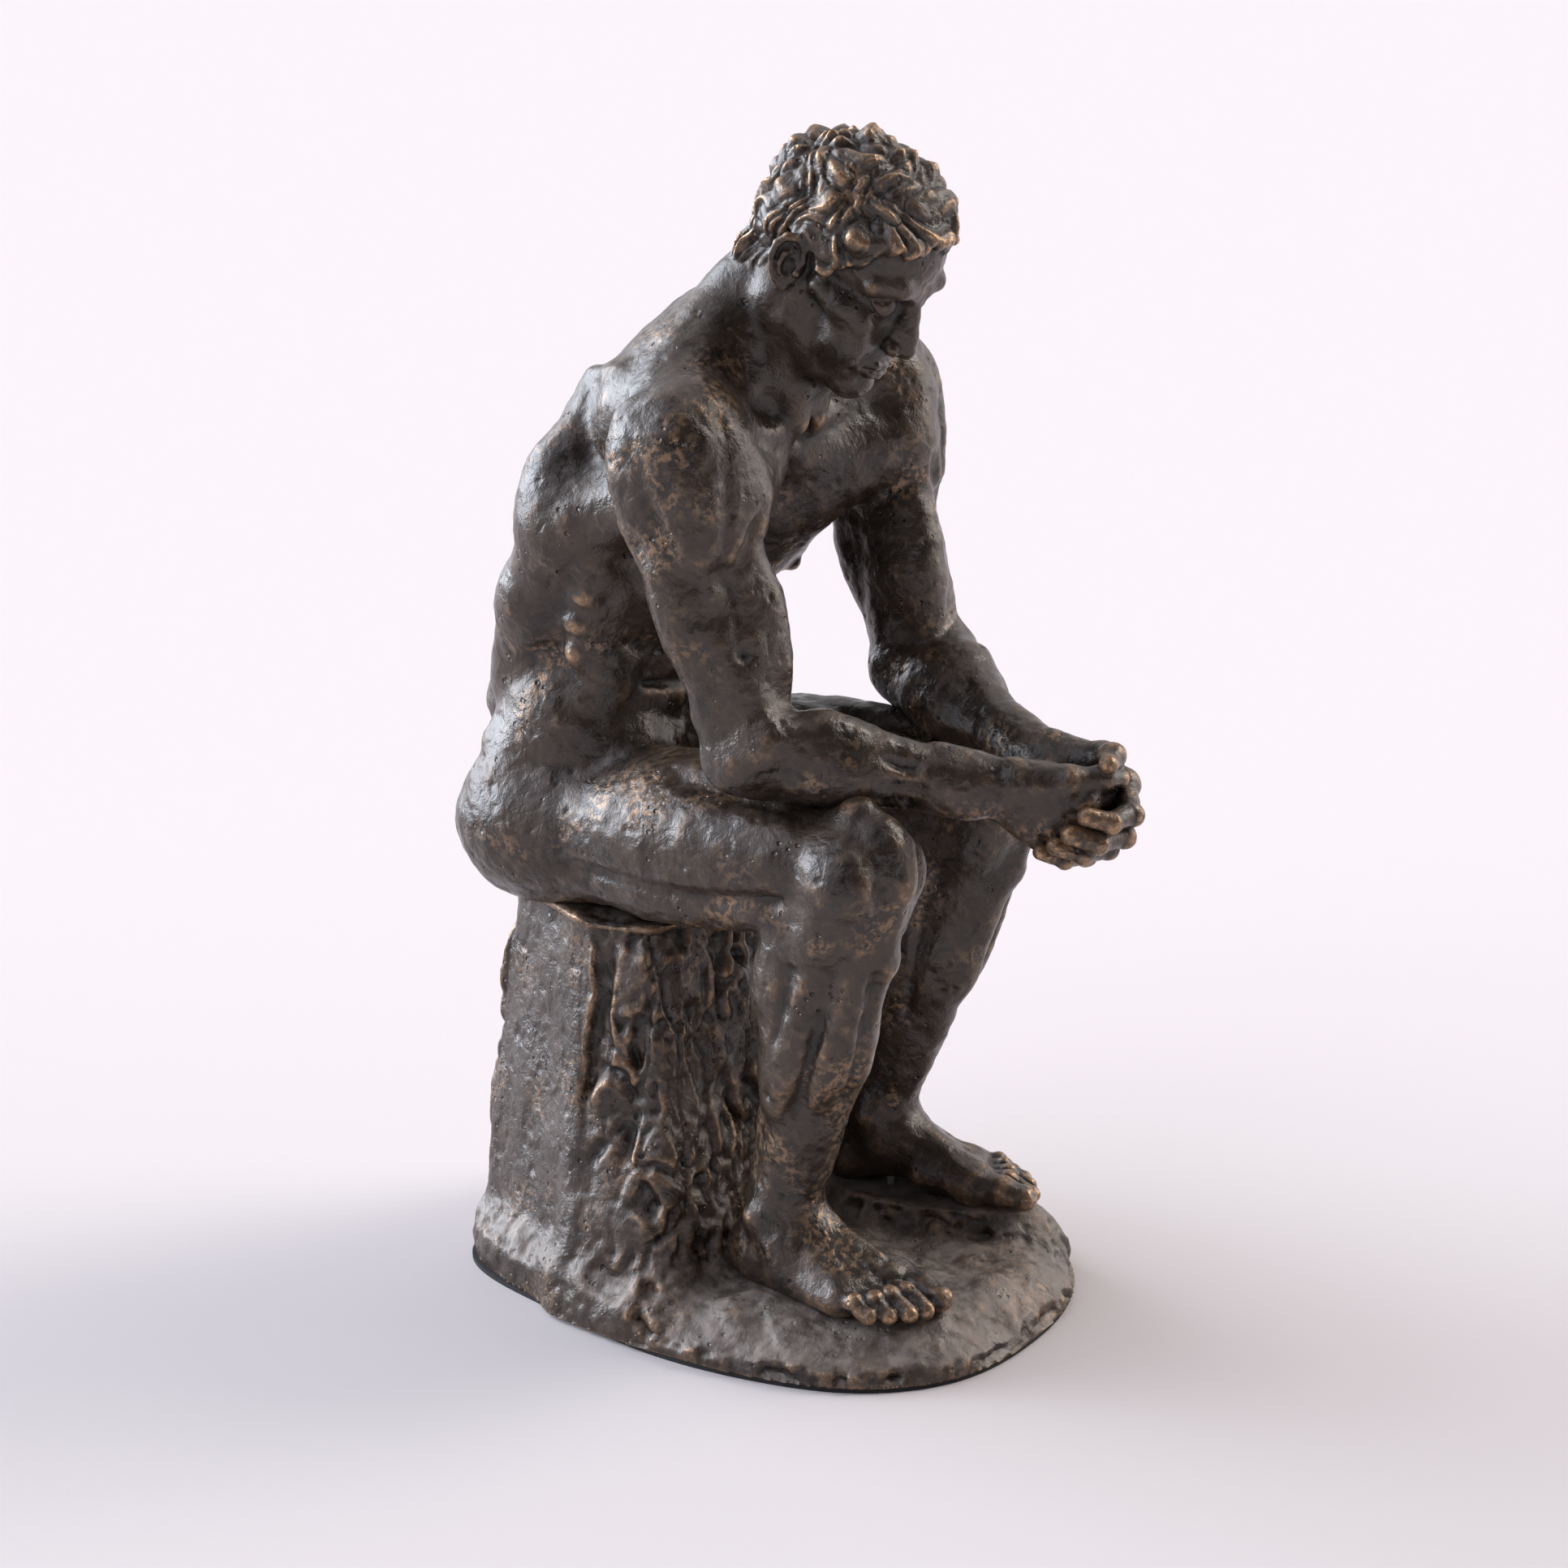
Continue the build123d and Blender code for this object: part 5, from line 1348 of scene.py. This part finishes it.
PIECES = {}
PIECES["torso"] = build("torso_cast", F_torso, G_torso, (-24, -26, 35), (24, 26, 110), 0.315, trunk_skin)
for s, side in ((-1, "right"), (1, "left")):
    x0, x1 = (-30, 1) if s < 0 else (-1, 30)
    PIECES[side + "_arm"] = build(side + "_arm_cast", F_arm(s), G_arm(s), (x0, -46, 48), (x1, 0, 104), 0.24, clay)
    x0, x1 = (-28, 2) if s < 0 else (-2, 28)
    PIECES[side + "_leg"] = build(side + "_leg_cast", F_leg(s), G_leg(s), (x0, -46, -2), (x1, 22, 62), 0.25, trunk_skin)
PIECES["clasped_hands"] = build("hands_cast", F_hands, G_hands, (-12, -58, 42), (12, -36, 68), 0.15, hand_skin)
PIECES["head"] = build("head_cast", F_head, G_head, (-13, -38, 92), (13, 1, 127), 0.16, head_skin)
PIECES["rock_base"] = build("rock_cast", f_rock, None, (-28, -50, -7), (28, 26, 42), 0.355, rough_rock)
print(f"pieces made, {time.time() - T0:.1f} s")

# ================================================================= materials


class Nodes:
    """Short hand for a procedural material."""

    def __init__(self, name):
        self.mat = bpy.data.materials.new(name)
        self.mat.use_nodes = True
        self.nt = self.mat.node_tree
        self.nt.nodes.clear()
        out = self.nt.nodes.new("ShaderNodeOutputMaterial")
        self.bsdf = self.nt.nodes.new("ShaderNodeBsdfPrincipled")
        self.nt.links.new(self.bsdf.outputs[0], out.inputs[0])
        self.co = self.nt.nodes.new("ShaderNodeTexCoord").outputs["Object"]

    def put(self, socket, value):
        if isinstance(value, bpy.types.NodeSocket):
            self.nt.links.new(value, socket)
        else:
            socket.default_value = value

    def scaled(self, sx, sy=None, sz=None):
        m = self.nt.nodes.new("ShaderNodeMapping")
        m.inputs["Scale"].default_value = (sx, sx if sy is None else sy, sx if sz is None else sz)
        self.nt.links.new(self.co, m.inputs["Vector"])
        return m.outputs[0]

    def noise(self, scale, detail=3.0, rough=0.55, vec=None, warp=0.0):
        n = self.nt.nodes.new("ShaderNodeTexNoise")
        n.inputs["Scale"].default_value = scale
        n.inputs["Detail"].default_value = detail
        n.inputs["Roughness"].default_value = rough
        n.inputs["Distortion"].default_value = warp
        self.nt.links.new(vec or self.co, n.inputs["Vector"])
        return n.outputs["Fac"]

    def cells(self, scale, vec=None, feature="F1", out="Distance", rand=1.0):
        n = self.nt.nodes.new("ShaderNodeTexVoronoi")
        n.feature = feature
        n.inputs["Scale"].default_value = scale
        n.inputs["Randomness"].default_value = rand
        self.nt.links.new(vec or self.co, n.inputs["Vector"])
        return n.outputs[out]

    def attr(self, name):
        n = self.nt.nodes.new("ShaderNodeAttribute")
        n.attribute_name = name
        return n.outputs["Fac"]

    def math(self, op, a, b=0.0, c=0.0, clamp=False):
        n = self.nt.nodes.new("ShaderNodeMath")
        n.operation = op
        n.use_clamp = clamp
        for i, v in enumerate((a, b, c)):
            self.put(n.inputs[i], v)
        return n.outputs[0]

    def step(self, x, lo, hi, a=0.0, b=1.0):
        n = self.nt.nodes.new("ShaderNodeMapRange")
        n.interpolation_type = "SMOOTHSTEP"
        for key, v in (("Value", x), ("From Min", lo), ("From Max", hi), ("To Min", a), ("To Max", b)):
            self.put(n.inputs[key], v)
        return n.outputs[0]

    def mix(self, fac, a, b, mode="MIX"):
        n = self.nt.nodes.new("ShaderNodeMix")
        n.data_type = "RGBA"
        n.blend_type = mode
        self.put(n.inputs[0], fac)
        for sock, v in ((n.inputs[6], a), (n.inputs[7], b)):
            self.put(sock, tuple(v) + (1.0,) if isinstance(v, (tuple, list)) else v)
        return n.outputs[2]

    def up(self):
        """How far the surface faces upward, -1 to 1."""
        g = self.nt.nodes.new("ShaderNodeNewGeometry")
        s = self.nt.nodes.new("ShaderNodeSeparateXYZ")
        self.nt.links.new(g.outputs["Normal"], s.inputs[0])
        return s.outputs[2]

    def height(self):
        s = self.nt.nodes.new("ShaderNodeSeparateXYZ")
        self.nt.links.new(self.co, s.inputs[0])
        return s.outputs[2]

    def bump(self, h, distance, strength=1.0, under=None):
        n = self.nt.nodes.new("ShaderNodeBump")
        n.inputs["Strength"].default_value = strength
        n.inputs["Distance"].default_value = distance
        self.put(n.inputs["Height"], h)
        if under is not None:
            self.nt.links.new(under, n.inputs["Normal"])
        return n.outputs[0]


def simple(name, color, rough, metal=0.0, scale=400.0, bump=0.05, spread=0.2):
    m = Nodes(name)
    n = m.noise(scale, 6)
    lo, hi = [c * (1 - spread) for c in color], [min(1, c * (1 + spread)) for c in color]
    m.put(m.bsdf.inputs["Base Color"], m.mix(n, lo, hi))
    m.bsdf.inputs["Roughness"].default_value = rough
    m.bsdf.inputs["Metallic"].default_value = metal
    if bump:
        m.put(m.bsdf.inputs["Normal"], m.bump(n, bump / 1000, 0.6))
    return m.mat


def bronze_material(name, rocky):
    m = Nodes(name)
    fine, broad = m.attr("fine"), m.attr("broad")
    big = m.noise(26.0, 3, 0.55, warp=0.6)
    mid = m.noise(95.0, 4, 0.6, warp=0.4)
    small = m.noise(420.0, 4, 0.62)
    grain = m.noise(1500.0, 2, 0.6)
    # brown patina, from near black to a warm mid brown
    patch = m.math("MULTIPLY_ADD", mid, 0.55, m.math("MULTIPLY", big, 0.45))
    col = m.mix(m.step(patch, 0.36, 0.62), DARK, BROWN)
    col = m.mix(m.step(m.noise(60.0, 5, 0.65, warp=1.0), 0.50, 0.72, 0.0, 0.6), col, OLIVE)
    col = m.mix(m.step(small, 0.35, 0.75, 0.0, 0.45), col, WARM)
    # hollows keep the dark, with a little dust
    hollow = m.step(m.math("ADD", m.math("MULTIPLY", broad, 0.7), m.math("MULTIPLY", fine, 2.2)), -0.02, -0.30)
    col = m.mix(m.math("MULTIPLY", hollow, 0.75), col, BLACK)
    upward = m.step(m.up(), 0.10 if rocky else 0.55, 0.90)
    dust_n = m.step(m.noise(130.0, 5, 0.7), 0.38, 0.68)
    dust = m.math("MULTIPLY", m.math("MULTIPLY", upward, dust_n), 0.95 if rocky else 0.22)
    if rocky:
        dust = m.math("ADD", dust, m.math("MULTIPLY", upward, m.step(m.height(), 0.06, 0.02, 0.0, 0.40)), clamp=True)
    col = m.mix(dust, col, ROCK_DUST if rocky else DUST)
    # high places are rubbed through to the metal
    high = m.math("ADD", m.math("MULTIPLY", broad, 1.0), m.math("MULTIPLY", fine, 3.2))
    rub = m.step(m.math("ADD", high, m.math("MULTIPLY", m.math("SUBTRACT", mid, 0.5), 0.42)), 0.10, 0.48)
    speck = m.step(m.noise(640.0, 3, 0.7), 0.42, 0.60, 0.35, 1.0)
    rub = m.math("MULTIPLY", rub, speck, clamp=True)
    rub = m.math("MULTIPLY", rub, 0.55 if rocky else 0.85)
    mottle = m.math("MULTIPLY", m.step(m.noise(38.0, 2, 0.5), 0.52, 0.66), m.step(small, 0.47, 0.60))
    rub = m.math("MAXIMUM", rub, m.math("MULTIPLY", mottle, 0.26 if rocky else 0.42))
    col = m.mix(rub, col, METAL)
    m.put(m.bsdf.inputs["Base Color"], col)
    m.put(m.bsdf.inputs["Metallic"], m.step(rub, 0.0, 1.0, 0.25, 0.90))
    rough = m.step(mid, 0.3, 0.7, 0.25, 0.40)
    rough = m.math("ADD", rough, m.math("MULTIPLY", dust, 0.38))
    rough = m.math("ADD", rough, m.math("MULTIPLY", hollow, 0.12), clamp=True)
    m.put(m.bsdf.inputs["Roughness"], rough)
    m.bsdf.inputs["IOR"].default_value = 1.5
    m.bsdf.inputs["Specular IOR Level"].default_value = 0.65
    # casting skin: soft tool facets, grain, pinholes
    soft = m.noise(210.0, 3, 0.55, warp=0.5)
    nrm = m.bump(soft, 0.0011, 0.5)
    nrm = m.bump(small, 0.0004, 0.55, nrm)
    pits = m.cells(300.0)
    where = m.step(m.noise(75.0, 2), 0.56 if not rocky else 0.48, 0.66)
    hole = m.math("MULTIPLY", m.step(pits, 0.26, 0.12), where)
    nrm = m.bump(m.math("MULTIPLY", hole, -1.0), 0.0009, 1.0, nrm)
    nrm = m.bump(grain, 0.00018, 0.6, nrm)
    m.put(m.bsdf.inputs["Normal"], nrm)
    return m.mat


BLACK = (0.006, 0.005, 0.005)
DARK = (0.016, 0.012, 0.010)
BROWN = (0.050, 0.034, 0.024)
OLIVE = (0.038, 0.031, 0.024)
WARM = (0.088, 0.056, 0.036)
DUST = (0.170, 0.142, 0.120)
ROCK_DUST = (0.225, 0.190, 0.165)
METAL = (0.48, 0.30, 0.175)

bronze = bronze_material("bronze_patina", False)
rock_bronze = bronze_material("bronze_patina_rock", True)
felt = simple("felt_black", (0.02, 0.02, 0.022), 0.95, 0.0, 1500, 0.2)
steel = simple("zinc_steel", (0.58, 0.58, 0.57), 0.35, 1.0)
turned = simple("turned_bronze", (0.55, 0.38, 0.22), 0.35, 1.0)
board = simple("hardboard", (0.30, 0.20, 0.12), 0.8)

for node, ob in PIECES.items():
    ob.data.materials.append(rock_bronze if node == "rock_base" else bronze)
    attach(ob, "root")
    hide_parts(node)

for node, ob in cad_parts.items():
    if node in PIECES:
        continue
    mat = {"felt_pad": felt, "closing_board": board}.get(node)
    if mat is None:
        mat = turned if "dowels" in node else steel
    ob.data.materials.clear()
    ob.data.materials.append(mat)

# ============================================================ stage and light
from mathutils import Vector

AZ, EL = math.radians(-58.0), math.radians(17.0)
look = A3(-math.sin(AZ), math.cos(AZ), 0)
right = A3(math.cos(AZ), math.sin(AZ), 0)


def paper():
    """A plain sheet with painted light: a little brighter towards its far side, darker towards the camera."""
    m = Nodes("paper")
    s = m.nt.nodes.new("ShaderNodeVectorMath")
    s.operation = "DOT_PRODUCT"
    m.nt.links.new(m.co, s.inputs[0])
    s.inputs[1].default_value = tuple(look)
    # painted shade: the sheet's colour darkens towards the camera, standing in for light falling off there
    far = m.step(s.outputs["Value"], -0.55, 0.5)
    m.put(m.bsdf.inputs["Base Color"], m.mix(far, (0.622, 0.589, 0.588), (0.720, 0.666, 0.670)))
    m.bsdf.inputs["Roughness"].default_value = 0.9
    m.bsdf.inputs["Specular IOR Level"].default_value = 0.0
    return m.mat


bpy.ops.mesh.primitive_circle_add(vertices=96, radius=9.0, fill_type="NGON", location=(0, 0, 0))
floor = bpy.context.object
floor.name = "floor"
floor.data.materials.append(paper())


def stage_at(r, fwd, up):
    """A point by the camera's right, away from the camera, and height."""
    return tuple(right * r + look * fwd + Z * up)


# a bright room: cool window light from the left and behind, warm wall on the
# right, dimmer on the camera's side
world = bpy.data.worlds.new("soft_room")
bpy.context.scene.world = world
world.use_nodes = True
wt = world.node_tree
bg = wt.nodes["Background"]
geo = wt.nodes.new("ShaderNodeTexCoord")


def lobe(direction, power, lo, hi):
    dot = wt.nodes.new("ShaderNodeVectorMath")
    dot.operation = "DOT_PRODUCT"
    wt.links.new(geo.outputs["Generated"], dot.inputs[0])
    dot.inputs[1].default_value = tuple(unit(A3(*direction)))
    r = wt.nodes.new("ShaderNodeMapRange")
    r.interpolation_type = "SMOOTHSTEP"
    r.inputs["From Min"].default_value = lo
    r.inputs["From Max"].default_value = hi
    r.inputs["To Max"].default_value = power
    wt.links.new(dot.outputs["Value"], r.inputs["Value"])
    return r.outputs[0]


def tinted(fac, color, under):
    m = wt.nodes.new("ShaderNodeMix")
    m.data_type = "RGBA"
    m.blend_type = "ADD"
    m.inputs[0].default_value = 1.0
    s = wt.nodes.new("ShaderNodeMix")
    s.data_type = "RGBA"
    s.blend_type = "MULTIPLY"
    s.inputs[0].default_value = 1.0
    s.inputs[6].default_value = tuple(color) + (1,)
    comb = wt.nodes.new("ShaderNodeCombineXYZ")
    for i in range(3):
        wt.links.new(fac, comb.inputs[i])
    wt.links.new(comb.outputs[0], s.inputs[7])
    if isinstance(under, tuple):
        m.inputs[6].default_value = under
    else:
        wt.links.new(under, m.inputs[6])
    wt.links.new(s.outputs[2], m.inputs[7])
    return m.outputs[2]


sky = tinted(lobe(stage_at(-0.92, 0.46, 0.22), 18.0, 0.76, 0.985), (0.80, 0.88, 1.0), (0.07, 0.067, 0.07, 1))
sky = tinted(lobe(stage_at(-0.70, -0.30, 0.62), 3.4, 0.72, 0.975), (0.86, 0.87, 1.0), sky)
sky = tinted(lobe(stage_at(0.0, 1.0, 0.15), 1.35, -0.05, 0.55), (1.0, 0.97, 1.0), sky)
sky = tinted(lobe(stage_at(0.95, 0.30, 0.35), 6.0, 0.82, 0.99), (1.0, 0.94, 0.89), sky)
sky = tinted(lobe(stage_at(0, 0.35, 1.0), 0.7, 0.25, 1.0), (1.0, 0.96, 0.985), sky)
low = wt.nodes.new("ShaderNodeMapRange")
low.interpolation_type = "SMOOTHSTEP"
low.inputs["From Min"].default_value = 0.24
low.inputs["From Max"].default_value = 0.08
low.inputs["To Max"].default_value = 0.9
split = wt.nodes.new("ShaderNodeSeparateXYZ")
wt.links.new(geo.outputs["Generated"], split.inputs[0])
wt.links.new(split.outputs[2], low.inputs["Value"])
sky = tinted(low.outputs[0], (1.0, 0.96, 0.985), sky)
wt.links.new(sky, bg.inputs[0])
bg.inputs[1].default_value = 0.405


def sun(name, source, strength, spread, color):
    lamp = bpy.data.lights.new(name, "SUN")
    lamp.energy = strength
    lamp.angle = math.radians(spread)
    lamp.color = color
    ob = bpy.data.objects.new(name, lamp)
    bpy.context.scene.collection.objects.link(ob)
    ob.location = source
    ob.rotation_euler = (-Vector(source)).to_track_quat("-Z", "Y").to_euler()
    return ob


sun("key", stage_at(1.0, 0.30, 0.95), 0.95, 24, (1.0, 0.95, 0.90))
sun("window", stage_at(-1.2, 0.34, 0.16), 1.25, 28, (0.80, 0.89, 1.0))

cam = bpy.data.cameras.new("camera")
cam.lens, cam.sensor_width = 85.0, 36.0
cam_ob = bpy.data.objects.new("camera", cam)
bpy.context.scene.collection.objects.link(cam_ob)
dist = 1.165
target = A3(0, 0, 0.166) + right * 0.004
back = -look * math.cos(EL) + Z * math.sin(EL)
pos = target + back * dist
cam_ob.location = pos
cam_ob.rotation_euler = (Vector(target) - Vector(pos)).to_track_quat("-Z", "Y").to_euler()
cam.clip_start, cam.clip_end = 0.05, 60
bpy.context.scene.camera = cam_ob
bpy.context.scene.view_settings.view_transform = "Standard"
